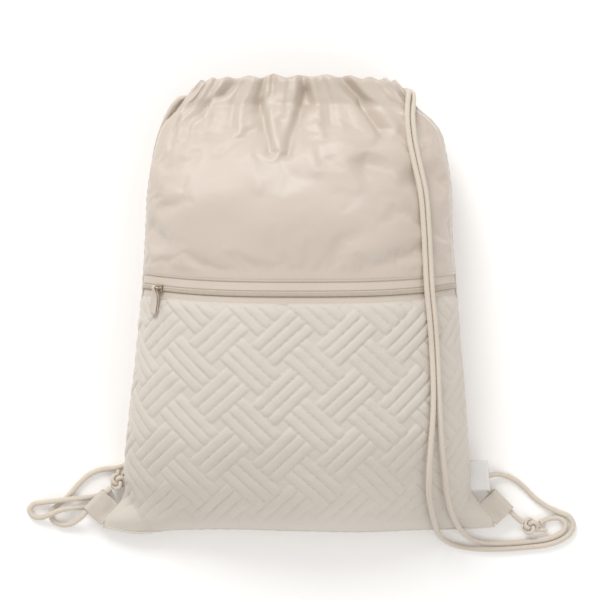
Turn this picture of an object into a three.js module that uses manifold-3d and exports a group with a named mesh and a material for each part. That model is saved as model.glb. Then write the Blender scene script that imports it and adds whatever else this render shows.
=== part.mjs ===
// Drawstring backpack with a gathered satin top and a zipped, quilted front pocket.
// It lies on its back: +Z is up through the front, +Y points to the mouth, and z = 0 is what it lies on.
// Millimetres. The origin is on the flat of the back.
import * as THREE from 'three';
import { mergeVertices } from 'three/addons/utils/BufferGeometryUtils.js';
import Module from 'manifold-3d';

const wasm = await Module();
wasm.setup();

// Stuffed body
const BODY_LENGTH = 392; // bottom seam to the casing's stitch line
const BOTTOM_SEAM_Y = -209;
const HALF_WIDTH = 150; // middle of the bag to a side seam
const SEAM_HEIGHT = 42; // side seam above the floor
const FRONT_RISE = 68; // side seam up to the crown of the front
const BACK_DEPTH = 54; // how deep the back would hang below its seam with no floor
const BOTTOM_TURN = 30; // length over which the cloth turns up from the bottom seam
const SIDE_BOW = 9; // how far a level line across the front rises or falls at the sides
const SEAM_GAP = 0.5;

// Cloth
const SATIN_WALL = 1.5;
const BACK_WALL = 1.5;
const QUILT_WALL = 3.2; // cloth, wadding and backing
const QUILT_RELIEF = 2;
const QUILT_COLUMNS = 44; // half ribs across the pocket
const QUILT_ROWS = 30;
const QUILT_FADE = 26; // the pattern flattens out over this length above the bottom seam

// Gathered top
const PLEATS = 12;
const PLEAT_DEPTH = 3.4;
const PLEAT_FADE = 0.3; // share of the body over which the pleats die out
const CASING_HEIGHT = 26;
const CASING_THICKNESS = 9;
const CASING_TAPER = 0.26; // the gathered ends lean in
const CASING_SPAN = 0.95; // share of the top edge that the casing covers
const CASING_STEPS = { front: 28, back: 16 };

// Zip
const ZIP_LINE = 219; // bottom seam to the middle of the coil, along the front
const COIL_WIDTH = 5;
const COIL_THICKNESS = 2.2;
const UPPER_TAPE_WIDTH = 7;
const LOWER_TAPE_WIDTH = 5;
const TAPE_WALL = 1;
const TAPE_INSET = 1;
const ZIP_ENDS = 0.99; // share of the half width that the zip covers each way
const SLIDER_PLACE = -0.69; // where the slider stands across the front, from -1 to 1
const SLIDER_LENGTH = 11;
const SLIDER_WIDTH = 8;
const SLIDER_HEIGHT = 2.4;
const BAIL_HEIGHT = 3.6;
const BAIL_WIRE = 1.5;
const PULL_LENGTH = 23;
const PULL_WIDTH = 7;
const PULL_THICKNESS = 1.6;
const PULL_REST = 3.8; // middle of the tape above the cloth
const SLIDER_LIFT = 0.3; // its underside rests on the coil

// Corner tabs, label and cords
const TAB_WIDTH = 25;
const TAB_LENGTH = 20;
const TAB_THICKNESS = 9;
const TAB_CHANNEL = 6.8;
const TAB_HEIGHT = 11.3; // middle of the channel above the floor
const TAB_GAP = 0.9;
const TAB_ALONG = 0.03; // where the middle of a tab meets the side seam, as a share of BODY_LENGTH
const LABEL_REACH = 17;
const LABEL_HEIGHT = 27;
const LABEL_THICKNESS = 2;
const LABEL_GAP = 1.1;
const LABEL_LIFT = 6; // its free edge stands this far above the seam
const LABEL_FROM = 33; // bottom seam to the label, along the side seam
const CORD = 5;
const CORD_STEP = 15;
const CORD_LANES = { right: 0.66, left: 0.36 }; // places of the two cords up the casing
const BEND_SQUEEZE = 0.8; // the cords are pressed thin inside the casing
const KNOT_RADIUS = 4.4;
const KNOT_CORD = 3.8;

// Sections up the body. Lengths are shares of BODY_LENGTH (along), HALF_WIDTH (left, right),
// SEAM_HEIGHT (seam), FRONT_RISE (front), BACK_DEPTH (back) and SIDE_BOW (bow);
// fullness is the exponent of the section, low for the pinched corners.
const SECTIONS = [
  { along: 0.0, left: 1.22, right: 1.205, seam: 0.27, front: 0.15, back: -0.19, bow: 0.35, fullness: 1.4 },
  { along: 0.02, left: 1.21, right: 1.19, seam: 0.27, front: 0.46, back: 0.04, bow: 0.35, fullness: 1.4 },
  { along: 0.05, left: 1.13, right: 1.12, seam: 0.29, front: 0.68, back: 0.3, bow: 0.35, fullness: 1.5 },
  { along: 0.08, left: 1.085, right: 1.067, seam: 0.345, front: 0.8, back: 0.5, bow: 0.4, fullness: 1.8 },
  { along: 0.12, left: 1.08, right: 1.05, seam: 0.47, front: 0.88, back: 0.7, bow: 0.5, fullness: 2.1 },
  { along: 0.24, left: 1.049, right: 1.024, seam: 0.84, front: 0.96, back: 0.9, bow: 0.7, fullness: 2.4 },
  { along: 0.46, left: 0.981, right: 0.975, seam: 1.0, front: 1.0, back: 1.0, bow: 1.0, fullness: 2.4 },
  { along: 0.69, left: 0.945, right: 0.932, seam: 1.0, front: 0.94, back: 1.0, bow: 0.6, fullness: 2.4 },
  { along: 0.8, left: 0.932, right: 0.926, seam: 0.98, front: 0.82, back: 0.95, bow: 0.2, fullness: 2.4 },
  { along: 0.89, left: 0.908, right: 0.901, seam: 0.93, front: 0.66, back: 0.8, bow: 0.0, fullness: 2.2 },
  { along: 0.945, left: 0.871, right: 0.859, seam: 0.9, front: 0.5, back: 0.6, bow: -0.2, fullness: 2.0 },
  { along: 0.975, left: 0.84, right: 0.81, seam: 0.87, front: 0.39, back: 0.45, bow: -0.3, fullness: 2.0 },
  { along: 1.0, left: 0.79, right: 0.745, seam: 0.83, front: 0.28, back: 0.3, bow: -0.35, fullness: 2.0 },
];

// Folds in the satin. Each runs from one place to another: x as a share of HALF_WIDTH from the middle,
// along as in SECTIONS. width and lift are shares of FOLD_WIDTH and FOLD_LIFT; a lift below 0 is a valley.
const FOLD_WIDTH = 10;
const FOLD_LIFT = 5;
const FOLDS = [
  { fromX: -0.11, fromAlong: 1.0, toX: -0.12, toAlong: 0.89, width: 0.8, lift: 0.9 },
  { fromX: -0.02, fromAlong: 1.0, toX: -0.1, toAlong: 0.9, width: 0.5, lift: -0.8 },
  { fromX: -0.24, fromAlong: 0.99, toX: -0.26, toAlong: 0.95, width: 0.4, lift: -0.7 },
  { fromX: -0.58, fromAlong: 1.0, toX: -0.62, toAlong: 0.93, width: 0.6, lift: -0.8 },
  { fromX: -0.4, fromAlong: 0.96, toX: -0.5, toAlong: 0.85, width: 1.0, lift: 0.5 },
  { fromX: 0.36, fromAlong: 1.0, toX: 0.5, toAlong: 0.93, width: 0.7, lift: -1.0 },
  { fromX: 0.46, fromAlong: 0.99, toX: 0.58, toAlong: 0.88, width: 0.8, lift: 0.7 },
  { fromX: 0.5, fromAlong: 0.88, toX: 0.78, toAlong: 0.8, width: 1.6, lift: -0.6 },
  { fromX: 0.44, fromAlong: 0.83, toX: 0.72, toAlong: 0.7, width: 2.2, lift: -0.6 },
  { fromX: 0.36, fromAlong: 0.68, toX: 0.7, toAlong: 0.74, width: 1.6, lift: 0.5 },
  { fromX: 0.2, fromAlong: 0.62, toX: 0.76, toAlong: 0.68, width: 1.2, lift: -0.4 },
  { fromX: -0.8, fromAlong: 0.72, toX: -0.5, toAlong: 0.78, width: 1.8, lift: 0.5 },
  { fromX: -0.82, fromAlong: 0.64, toX: -0.6, toAlong: 0.61, width: 1.0, lift: 0.7 },
  { fromX: -0.9, fromAlong: 0.7, toX: -0.78, toAlong: 0.63, width: 0.9, lift: -0.7 },
];

// Cross-section of a casing: up is the share of its height from the stitch line, out of its half thickness
const CASING_OUTSIDE = [
  { up: 0.0, out: -0.34 },
  { up: 0.18, out: -0.94 },
  { up: 0.84, out: -1.0 },
  { up: 1.0, out: -0.3 },
  { up: 1.0, out: 0.3 },
  { up: 0.84, out: 1.0 },
  { up: 0.18, out: 0.94 },
  { up: 0.0, out: 0.34 },
];
const CASING_CHANNEL = [
  { up: 0.14, out: 0.0 },
  { up: 0.22, out: -0.68 },
  { up: 0.8, out: -0.72 },
  { up: 0.93, out: 0.0 },
  { up: 0.8, out: 0.72 },
  { up: 0.22, out: 0.68 },
];

// Routes of the free cords in millimetres, from where they leave the casing to their knot.
// The right pair is draped over the front; the left pair drops to the floor beside the bag.
const CORD_ROUTES = {
  cord_right_1: [
    [94.6, 197.1, 40], [98.8, 197.9, 42], [102.4, 196, 45.8], [103.9, 190.8, 49.4], [103.9, 183.5, 52.2],
    [103.2, 175, 56], [103.5, 163, 63],
    [104.8, 148, 70.6], [106.8, 131, 77.2], [110.2, 101, 85.3], [112.5, 72, 89], [114.5, 43, 91],
    [116, 14, 94.5], [118, -12, 95], [119.5, -45, 94.8], [120.3, -75, 94], [119.8, -100, 92],
    [118, -130, 86.5], [117, -152, 78.5], [117.2, -170, 67.5], [119, -182, 57], [121.5, -193, 46],
    [124.5, -203, 34], [128, -211.5, 21.5], [134, -218.5, 10.5], [143, -223.5, 4], [155, -226.5, 2.5],
    [172, -228, 2.5], [195, -227.5, 2.5], [213, -226, 2.5], [230, -224, 2.5], [243.5, -219.5, 2.5],
    [252.5, -212.5, 2.5], [255, -204.5, 2.5], [251, -197.5, 2.5], [242, -193.5, 2.5], [230, -188, 2.5],
    [219.5, -180.5, 2.5], [210.5, -171.5, 2.5], [201.5, -164, 2.7], [191.5, -159.2, 3.8], [181.5, -157.8, 6],
    [174.3, -160.3, 8.6], [171.4, -165, 10.4], [173.5, -169.8, 11.3], [177.7, -174, 11.3], [186.6, -182.9, 11.3],
    [195.4, -191.7, 11.3], [200.5, -196.8, 10.6], [207.4, -202.6, 8.1],
  ],
  cord_right_2: [
    [94.6, 197.1, 29.8], [101, 197.8, 30.4], [108.5, 197.2, 32.5], [115, 193.5, 36.5], [119, 186.5, 41],
    [119.5, 178.5, 45], [118, 169, 51.5], [115.8, 159, 60], [114.5, 148, 67], [114.3, 131, 73.8],
    [116.6, 101, 82], [118.2, 72, 86],
    [120, 43, 88], [121.5, 14, 91.5], [123.6, -12, 91.8], [125.2, -45, 91.2], [126.3, -75, 90.2],
    [127, -100, 87.8], [128.8, -130, 81], [131.3, -152, 71.5], [133.5, -170, 59.5], [136.5, -183, 48],
    [140.5, -194, 37], [145.5, -203.5, 26.5], [151.5, -211.5, 15.5], [159, -217.5, 7], [168, -221, 3],
    [182, -222.3, 2.5], [198, -222, 2.5], [214, -220.6, 2.5], [229, -218.4, 2.5], [239.5, -215, 2.5],
    [246.5, -209.5, 2.5], [247.5, -203.3, 2.5], [242.5, -199.3, 2.5], [234, -199.2, 3.2], [226.5, -201.5, 4.2],
    [224, -203.2, 4.6],
  ],
  cord_left_1: [
    [-109.2, 189.6, 40], [-116, 190.2, 39], [-123.5, 186, 35], [-129.5, 176.5, 28], [-134.8, 163.5, 18.8],
    [-139, 148, 10.5], [-142, 130, 5], [-143, 110, 2.7], [-141.5, 85, 2.5], [-138.5, 55, 2.5], [-137, 20, 2.5],
    [-138, -20, 2.5], [-141, -60, 2.5], [-145.5, -97, 2.5], [-150, -123, 2.5], [-154, -137, 2.5],
    [-161, -148, 2.5], [-171.5, -152.3, 2.5], [-184.5, -153.6, 2.5], [-196.5, -158.3, 2.5], [-206, -166.5, 2.5],
    [-212.5, -174, 2.5], [-220, -182, 2.5], [-228, -188.5, 2.5], [-232.5, -195, 2.5], [-230, -201.5, 2.5],
    [-223, -205, 2.7], [-213, -204, 4.5], [-204.5, -198.2, 9], [-198, -191.7, 11.3], [-189.1, -182.9, 11.3],
    [-180.3, -174.1, 11.3], [-176.4, -170.2, 11.2],
  ],
  cord_left_2: [
    [-109.2, 189.6, 29.8], [-115.5, 190.6, 28.5], [-122, 187, 24], [-127, 177, 16.5], [-129.5, 163, 9.5],
    [-130.8, 152, 5.5],
    [-131.5, 140, 3.3], [-133, 120, 2.5], [-133, 90, 2.5], [-131.5, 55, 2.5], [-130.5, 20, 2.5],
    [-131.5, -20, 2.5], [-134.5, -60, 2.5], [-139, -97, 2.5], [-144.5, -125, 2.5], [-149, -147, 2.5],
    [-151.5, -164, 2.5], [-155.5, -178, 2.5], [-164, -187.5, 2.5], [-177, -190.3, 2.5], [-191, -189.6, 2.5],
    [-203, -189, 3.4], [-214, -189.3, 6.8], [-224.5, -191.5, 8.2], [-234, -195.8, 7.6], [-242, -198.3, 4],
    [-249, -197, 2.5], [-252.5, -191.5, 2.5], [-248.5, -186, 2.5], [-240, -184.3, 3.6], [-231, -183, 6.8],
    [-221, -181.6, 8.2], [-211.5, -180.8, 7], [-202, -180.4, 3.5], [-192, -178.8, 2.5], [-183, -175.8, 2.5],
    [-176.2, -172.4, 3.8],
  ],
};
// The knots at their ends: where each lies, and its tail from a strand of the knot to the cut end
const KNOTS = {
  knot_right: { place: [214.8, -206.2, 6], tail: [[3.7, -3.7, -2], [15.5, -4.5, -3]] },
  knot_left: { place: [-169.5, -164.5, 9], tail: [[0, 5.9, -1.5], [0.5, 10.5, -1]] },
};

const clamp = THREE.MathUtils.clamp;
const lerp = THREE.MathUtils.lerp;
const smoothstep = (value) => THREE.MathUtils.smoothstep(value, 0, 1);

// Reads one column of the sections at any share, on a smooth curve through the rows
function section(column, along) {
  const last = SECTIONS.length - 1;
  const slopeAt = (row) => {
    const before = SECTIONS[Math.max(row - 1, 0)];
    const after = SECTIONS[Math.min(row + 1, last)];
    return (after[column] - before[column]) / (after.along - before.along);
  };
  let row = 0;
  while (row < last - 1 && along > SECTIONS[row + 1].along) row += 1;
  const from = SECTIONS[row];
  const to = SECTIONS[row + 1];
  const span = to.along - from.along;
  const t = clamp((along - from.along) / span, 0, 1);
  const rise = to[column] - from[column];
  const a = slopeAt(row) * span - rise;
  const b = rise - slopeAt(row + 1) * span;
  return lerp(from[column], to[column], t) + t * (1 - t) * (a * (1 - t) + b * t);
}

// A place on the skin: across runs from -1 at the left seam to 1 at the right, side is 1 for the front
// and -1 for the back. Returns the point and the direction into the bag. Past the seams the skin goes
// on straight, so that a cutting solid can run through an edge.
function skin(across, along, side) {
  const s = clamp(across, -1, 1);
  const t = clamp(along, 0, 1);
  const past = Math.abs(across - s) * HALF_WIDTH + Math.max(0, -along) * BODY_LENGTH;
  const sine = Math.sin((s * Math.PI) / 2);
  const cosine = Math.cos((s * Math.PI) / 2);
  const half = HALF_WIDTH * section(s < 0 ? 'left' : 'right', t);
  const fullness = section('fullness', t);
  const shape = Math.pow(Math.max(0, 1 - Math.pow(Math.abs(sine), fullness)), 1 / fullness);
  const rise = side > 0 ? FRONT_RISE * section('front', t) : BACK_DEPTH * section('back', t);
  const point = new THREE.Vector3(
    half * sine,
    BOTTOM_SEAM_Y + Math.max(along, 0) * BODY_LENGTH + SIDE_BOW * section('bow', t) * Math.abs(sine) ** 3,
    SEAM_HEIGHT * section('seam', t) + side * (rise * shape + SEAM_GAP / 2 - past),
  );
  if (side < 0) point.z = Math.max(0, point.z);
  const turn = Math.pow(Math.max(0, 1 - (t * BODY_LENGTH) / BOTTOM_TURN), 2);
  const inward = new THREE.Vector3(-sine, turn, -side * cosine * (1 - turn)).normalize();
  return { point, inward };
}

// How far the satin stands out at a place: pleats below the casing, then the folds of the table
function pleat(across, along) {
  const fade = smoothstep((along - 1 + PLEAT_FADE) / PLEAT_FADE) ** 2;
  const edge = 1 - Math.pow(Math.abs(across), 6);
  const wander = 0.35 * Math.sin(across * 9) + 0.25 * Math.sin(across * 4 + 1);
  return PLEAT_DEPTH * fade * edge * Math.cos(Math.PI * PLEATS * across + wander * Math.PI);
}

function folds(across, along) {
  const x = Math.sin((across * Math.PI) / 2) * section(across < 0 ? 'left' : 'right', clamp(along, 0, 1));
  let lift = 0;
  for (const fold of FOLDS) {
    const runX = (fold.toX - fold.fromX) * HALF_WIDTH;
    const runY = (fold.toAlong - fold.fromAlong) * BODY_LENGTH;
    const toX = (x - fold.fromX) * HALF_WIDTH;
    const toY = (along - fold.fromAlong) * BODY_LENGTH;
    const length = Math.hypot(runX, runY);
    const down = (toX * runX + toY * runY) / length;
    const aside = (toX * runY - toY * runX) / length;
    const beyond = Math.max(0, -down, down - length);
    const width = fold.width * FOLD_WIDTH;
    lift += fold.lift * FOLD_LIFT * Math.exp(-(aside ** 2 + beyond ** 2) / width ** 2);
  }
  return lift;
}

function satinLift(across, along) {
  const nearZip = smoothstep(((along * BODY_LENGTH - SATIN_FROM) / BODY_LENGTH) * 14);
  const nearSeam = smoothstep((1 - Math.abs(across)) * 6);
  return pleat(across, along) + folds(across, along) * nearZip * nearSeam;
}

// Turns a position-only mesh into a solid and back
function toSolid(geometry) {
  const bare = geometry.clone();
  bare.deleteAttribute('normal');
  bare.deleteAttribute('uv');
  bare.clearGroups();
  const merged = mergeVertices(bare, 1e-3);
  return new wasm.Manifold(new wasm.Mesh({
    numProp: 3,
    vertProperties: new Float32Array(merged.attributes.position.array),
    triVerts: new Uint32Array(merged.index.array),
  }));
}

function toGeometry(solid) {
  const { vertProperties, triVerts } = solid.getMesh();
  const geometry = new THREE.BufferGeometry();
  geometry.setAttribute('position', new THREE.BufferAttribute(new Float32Array(vertProperties), 3));
  geometry.setIndex(new THREE.BufferAttribute(new Uint32Array(triVerts), 1));
  return geometry;
}

// Moves each vertex of a geometry by a function of its place
function warp(geometry, place) {
  const position = geometry.attributes.position;
  const vertex = new THREE.Vector3();
  for (let i = 0; i < position.count; i += 1) {
    vertex.fromBufferAttribute(position, i);
    position.setXYZ(i, ...place(vertex.x, vertex.y, vertex.z).toArray());
  }
  return geometry;
}

// A piece of the skin with a wall: outer and inner give the depth below the skin at a place, and crowd
// draws its rows together towards both ends
function panel({ side = 1, acrossFrom = -1, acrossTo = 1, from, to, columns, rows, outer, inner, crowd = 0 }) {
  return warp(new THREE.BoxGeometry(1, 1, 1, columns, rows, 1), (x, y, z) => {
    const across = lerp(acrossFrom, acrossTo, 0.5 + side * x);
    const up = 0.5 + y - crowd * Math.sin(2 * Math.PI * (0.5 + y));
    const along = lerp(from, to, up) / BODY_LENGTH;
    const { point, inward } = skin(across, along, side);
    const depth = z > 0 ? outer(across, along) : inner(across, along);
    point.addScaledVector(inward, depth);
    if (side < 0) point.z = Math.max(z > 0 ? 0 : BACK_WALL, point.z);
    return point;
  });
}

// Places along the front, from the bottom seam up
const QUILT_TO = ZIP_LINE - COIL_WIDTH / 2 - LOWER_TAPE_WIDTH - SEAM_GAP * 2;
const COIL_FROM = ZIP_LINE - COIL_WIDTH / 2;
const COIL_TO = ZIP_LINE + COIL_WIDTH / 2;
const SATIN_FROM = COIL_TO + UPPER_TAPE_WIDTH + SEAM_GAP * 2;

// Basket weave of three-rib strips at 45 degrees. Column and row count half ribs: a place where their sum
// is odd is on the ridge of a rib, an even one is in a groove. Returns the strip that lies on top.
function ribsRunUp(column, row) {
  const p = (column + row) / 2;
  const q = (row - column) / 2;
  const strip = (value) => Math.floor(value / 4);
  const inStrip = (value) => value - 4 * strip(value) < 3;
  if (inStrip(p) && inStrip(q)) return (strip(p) + strip(q)) % 2 === 0;
  return inStrip(q);
}

function quiltLift(column, row, along) {
  const p = (column + row) / 2;
  const q = (row - column) / 2;
  const gap = (value) => value - 4 * Math.floor(value / 4) > 3;
  const fade = smoothstep((along * BODY_LENGTH) / QUILT_FADE);
  const ridge = Math.abs(column + row) % 2 === 1 && !(gap(p) && gap(q));
  return ridge ? QUILT_RELIEF * fade : 0;
}

function quiltedPocket() {
  const nearEdge = (along) => 1.4 * (1 - smoothstep((QUILT_TO - along * BODY_LENGTH) / 9));
  const outside = panel({
    from: 0, to: QUILT_TO, columns: QUILT_COLUMNS, rows: QUILT_ROWS,
    outer: (across, along) => {
      const column = Math.round(((across + 1) / 2) * QUILT_COLUMNS);
      const row = Math.round(((along * BODY_LENGTH) / QUILT_TO) * QUILT_ROWS);
      const rim = column === 0 || column === QUILT_COLUMNS || row === 0 || row === QUILT_ROWS;
      return rim ? nearEdge(along) : nearEdge(along) - quiltLift(column, row, along);
    },
    inner: () => QUILT_WALL * 2,
  });
  // Each cell is split along the ridge of its rib
  const index = outside.index;
  const top = outside.groups[4];
  for (let cell = 0; cell < QUILT_COLUMNS * QUILT_ROWS; cell += 1) {
    const at = top.start + cell * 6;
    const column = cell % QUILT_COLUMNS;
    const row = QUILT_ROWS - 1 - Math.floor(cell / QUILT_COLUMNS);
    const upRight = (column + row) % 2 === 1;
    const ridgeUp = ribsRunUp(column + 0.5, row + 0.5) === upRight ? upRight : !upRight;
    const corners = [0, 1, 2, 4].map((k) => index.getX(at + k));
    const [topLeft, bottomLeft, topRight, bottomRight] = corners;
    const split = ridgeUp
      ? [topLeft, bottomLeft, topRight, bottomLeft, bottomRight, topRight]
      : [topLeft, bottomLeft, bottomRight, topLeft, bottomRight, topRight];
    split.forEach((vertex, k) => index.setX(at + k, vertex));
  }
  const hollow = panel({
    acrossFrom: -1.02, acrossTo: 1.02, from: -4, to: QUILT_TO + 6, columns: 16, rows: 8,
    outer: () => QUILT_WALL, inner: () => QUILT_WALL * 4,
  });
  return toGeometry(toSolid(outside).subtract(toSolid(hollow)));
}

function satinPanel() {
  return panel({
    from: SATIN_FROM, to: BODY_LENGTH, columns: 36, rows: 9,
    outer: (across, along) => -satinLift(across, along),
    inner: (across, along) => SATIN_WALL - satinLift(across, along),
  });
}

function backPanel() {
  return panel({
    side: -1, from: 0, to: BODY_LENGTH, columns: 12, rows: 18, crowd: 0.11,
    outer: () => 0,
    inner: () => BACK_WALL,
  });
}

// A strip of the zip across the front
function zipStrip(from, to, inset, wall, columns) {
  return panel({
    acrossFrom: -ZIP_ENDS, acrossTo: ZIP_ENDS, from, to, columns, rows: 1,
    outer: () => inset, inner: () => inset + wall,
  });
}

// A place in the casing: across the top edge, up its height and out of its middle plane.
// The casing follows the pleats of the satin and stays clear of the other casing at the sides.
function casingPoint(side, across, up, out) {
  const { point } = skin(across, 1, side);
  const seam = SEAM_HEIGHT * section('seam', 1);
  const clear = CASING_THICKNESS / 2 + SEAM_GAP;
  const centre = Math.hypot(point.z - seam, clear);
  const ruffle = pleat(across, 1) * smoothstep((centre - clear) / 3);
  const tall = CASING_HEIGHT * (1 + 0.05 * Math.cos(Math.PI * PLEATS * across));
  return new THREE.Vector3(
    point.x * (1 - CASING_TAPER * up),
    point.y + SEAM_GAP + up * tall,
    seam + side * (centre + ruffle) + (out * CASING_THICKNESS) / 2,
  );
}

// A tunnel for the cords: the flat loop of cloth runs across the top edge
function casing(side, steps) {
  const outline = new THREE.Shape(CASING_OUTSIDE.map(({ up, out }) => new THREE.Vector2(up, out)));
  outline.holes.push(new THREE.Path(CASING_CHANNEL.map(({ up, out }) => new THREE.Vector2(up, out))));
  const tunnel = new THREE.ExtrudeGeometry(outline, { depth: 1, steps, bevelEnabled: false });
  return warp(tunnel, (up, out, run) => casingPoint(side, lerp(-CASING_SPAN, CASING_SPAN, run), up, out));
}

// The frame of a place on the front: x along the zip, y up the bag, z out of the cloth
function frameOn(across, along) {
  const { point } = skin(across, along / BODY_LENGTH, 1);
  const step = 0.01;
  const right = skin(across + step, along / BODY_LENGTH, 1).point.sub(point).normalize();
  const up = skin(across, along / BODY_LENGTH + step, 1).point.sub(point).normalize();
  const out = new THREE.Vector3().crossVectors(right, up).normalize();
  up.crossVectors(out, right);
  return new THREE.Matrix4().makeBasis(right, up, out).setPosition(point);
}

function sliderBody() {
  const plate = new THREE.Shape();
  plate.moveTo(-SLIDER_LENGTH / 2, -SLIDER_WIDTH * 0.36);
  plate.quadraticCurveTo(0, -SLIDER_WIDTH * 0.62, SLIDER_LENGTH / 2, -SLIDER_WIDTH * 0.42);
  plate.lineTo(SLIDER_LENGTH / 2, SLIDER_WIDTH * 0.42);
  plate.quadraticCurveTo(0, SLIDER_WIDTH * 0.62, -SLIDER_LENGTH / 2, SLIDER_WIDTH * 0.36);
  plate.closePath();
  const body = new THREE.ExtrudeGeometry(plate, {
    depth: SLIDER_HEIGHT, bevelEnabled: true, bevelSegments: 1, bevelSize: 0.3, bevelThickness: 0.3,
    curveSegments: 2,
  });
  body.translate(0, 0, SLIDER_LIFT);
  const low = SLIDER_LIFT + SLIDER_HEIGHT * 0.6;
  const high = SLIDER_LIFT + SLIDER_HEIGHT + BAIL_HEIGHT;
  const reach = SLIDER_LENGTH * 0.34;
  const arch = new THREE.CatmullRomCurve3([
    new THREE.Vector3(-reach, 0, low),
    new THREE.Vector3(-reach, 0, high - 1.4),
    new THREE.Vector3(-reach * 0.55, 0, high),
    new THREE.Vector3(reach * 0.55, 0, high),
    new THREE.Vector3(reach, 0, high - 1.4),
    new THREE.Vector3(reach, 0, low),
  ]);
  return toGeometry(toSolid(body).add(toSolid(tube(arch, BAIL_WIRE, 9, 3))));
}

// A round bar along a curve
function tube(curve, diameter, steps, sides) {
  const circle = new THREE.Shape();
  circle.absarc(0, 0, diameter / 2, 0, Math.PI * 2);
  return new THREE.ExtrudeGeometry(circle, { extrudePath: curve, steps, curveSegments: sides });
}

// The pull is a tape whose eye passes round the bar of the bail and hangs towards the bottom
function pullTape() {
  const eye = SLIDER_LIFT + SLIDER_HEIGHT + BAIL_HEIGHT;
  const hole = BAIL_WIRE / 2 + SEAM_GAP;
  const ring = new THREE.Shape();
  ring.absarc(0, 0, hole + PULL_THICKNESS / 2, 0, Math.PI * 2);
  const opening = new THREE.Path();
  opening.absarc(0, 0, hole, 0, Math.PI * 2);
  ring.holes.push(opening);
  const eyeWidth = SLIDER_LENGTH * 0.32;
  const loop = new THREE.ExtrudeGeometry(ring, { depth: eyeWidth, bevelEnabled: false, curveSegments: 5 });
  loop.translate(0, 0, -eyeWidth / 2).rotateY(Math.PI / 2).translate(0, 0, eye);
  const tape = warp(new THREE.BoxGeometry(1, 1, 1, 2, 6, 1), (x, y, z) => {
    const run = 0.5 - y;
    const width = lerp(eyeWidth, PULL_WIDTH, smoothstep(run * 3));
    const rest = lerp(eye - PULL_THICKNESS / 2, PULL_REST, smoothstep(run * 2.2));
    return new THREE.Vector3(x * width, -hole - run * PULL_LENGTH, rest + z * PULL_THICKNESS * 0.8);
  });
  return toGeometry(toSolid(loop).add(toSolid(tape)));
}

// A loop of webbing sewn across a corner: x points away from the bag, y along the seam, z up
function cornerTab() {
  const half = TAB_THICKNESS / 2;
  const round = TAB_LENGTH - half;
  const outline = new THREE.Shape();
  outline.moveTo(0, -half * 0.4);
  outline.lineTo(round * 0.35, -half * 0.55);
  outline.lineTo(round, -half);
  outline.absarc(round, 0, half, -Math.PI / 2, Math.PI / 2);
  outline.lineTo(round * 0.35, half * 0.55);
  outline.lineTo(0, half * 0.4);
  outline.closePath();
  const channel = new THREE.Path();
  channel.absarc(round, 0, TAB_CHANNEL / 2, 0, Math.PI * 2);
  outline.holes.push(channel);
  const loop = new THREE.ExtrudeGeometry(outline, { depth: TAB_WIDTH, bevelEnabled: false, curveSegments: 5 });
  return loop.translate(0, 0, -TAB_WIDTH / 2).rotateX(-Math.PI / 2);
}

// A folded label in the right side seam
function sideLabel() {
  return warp(new THREE.BoxGeometry(1, 1, 1, 3, 3, 1), (x, y, z) => {
    const along = (LABEL_FROM + (y + 0.5) * LABEL_HEIGHT) / BODY_LENGTH;
    const { point } = skin(1, along, 1);
    const reach = x + 0.5;
    return new THREE.Vector3(
      point.x + LABEL_GAP + reach * LABEL_REACH,
      point.y,
      point.z + LABEL_LIFT * reach + z * LABEL_THICKNESS,
    );
  });
}

// A cord inside the casing: through the front tunnel, round the far end and back through the rear one
function cordInCasing(lane, from) {
  const stretch = (side, steps) => {
    const round = new THREE.Shape();
    const radius = (CORD * BEND_SQUEEZE) / 2;
    round.absellipse(lane, 0, radius / CASING_HEIGHT, (radius * 2) / CASING_THICKNESS, 0, Math.PI * 2);
    const bar = new THREE.ExtrudeGeometry(round, { depth: 1, steps, bevelEnabled: false, curveSegments: 2 });
    return toSolid(warp(bar, (up, out, run) => {
      return casingPoint(side, lerp(-CASING_SPAN, CASING_SPAN, run), up, out);
    }));
  };
  const far = -from * CASING_SPAN;
  const front = casingPoint(1, far, lane, 0);
  const rear = casingPoint(-1, far, lane, 0);
  const out = new THREE.Vector3(-from * CORD, 0, 0);
  const bend = new THREE.CatmullRomCurve3([
    front,
    front.clone().addScaledVector(out, 0.9),
    front.clone().add(rear).multiplyScalar(0.5).addScaledVector(out, 1.8),
    rear.clone().addScaledVector(out, 0.9),
    rear,
  ]);
  const turn = toSolid(tube(bend, CORD * BEND_SQUEEZE, 8, 3));
  return toGeometry(stretch(1, CASING_STEPS.front).add(stretch(-1, CASING_STEPS.back)).add(turn));
}

function freeCord(route) {
  const curve = new THREE.CatmullRomCurve3(route.map((point) => new THREE.Vector3(...point)));
  return tube(curve, CORD, Math.round(curve.getLength() / CORD_STEP), 4);
}

// An overhand knot drawn tight, with the cut ends of the cord beside it
function knot(tail) {
  const lobes = new THREE.TorusKnotGeometry(KNOT_RADIUS, KNOT_CORD / 2, 22, 5, 2, 3);
  const [from, to] = tail.map((point) => new THREE.Vector3(...point));
  const ends = tube(new THREE.LineCurve3(from, to), KNOT_CORD, 2, 3);
  return toGeometry(toSolid(lobes).add(toSolid(ends)));
}

const group = new THREE.Group();

function add(name, geometry, colour, roughness, metalness = 0) {
  const mesh = new THREE.Mesh(geometry, new THREE.MeshStandardMaterial({ color: colour, roughness, metalness }));
  mesh.name = name;
  group.add(mesh);
  return mesh;
}

const SATIN = 0xd9c3b2;
const QUILT = 0xcfc7b8;
const ZIP_TAPE = 0xc9b8a8;
const CORD_COLOUR = 0xe2dacb;
const METAL = 0xc8bba4;
const WEBBING = 0xd8cdbb;

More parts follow.
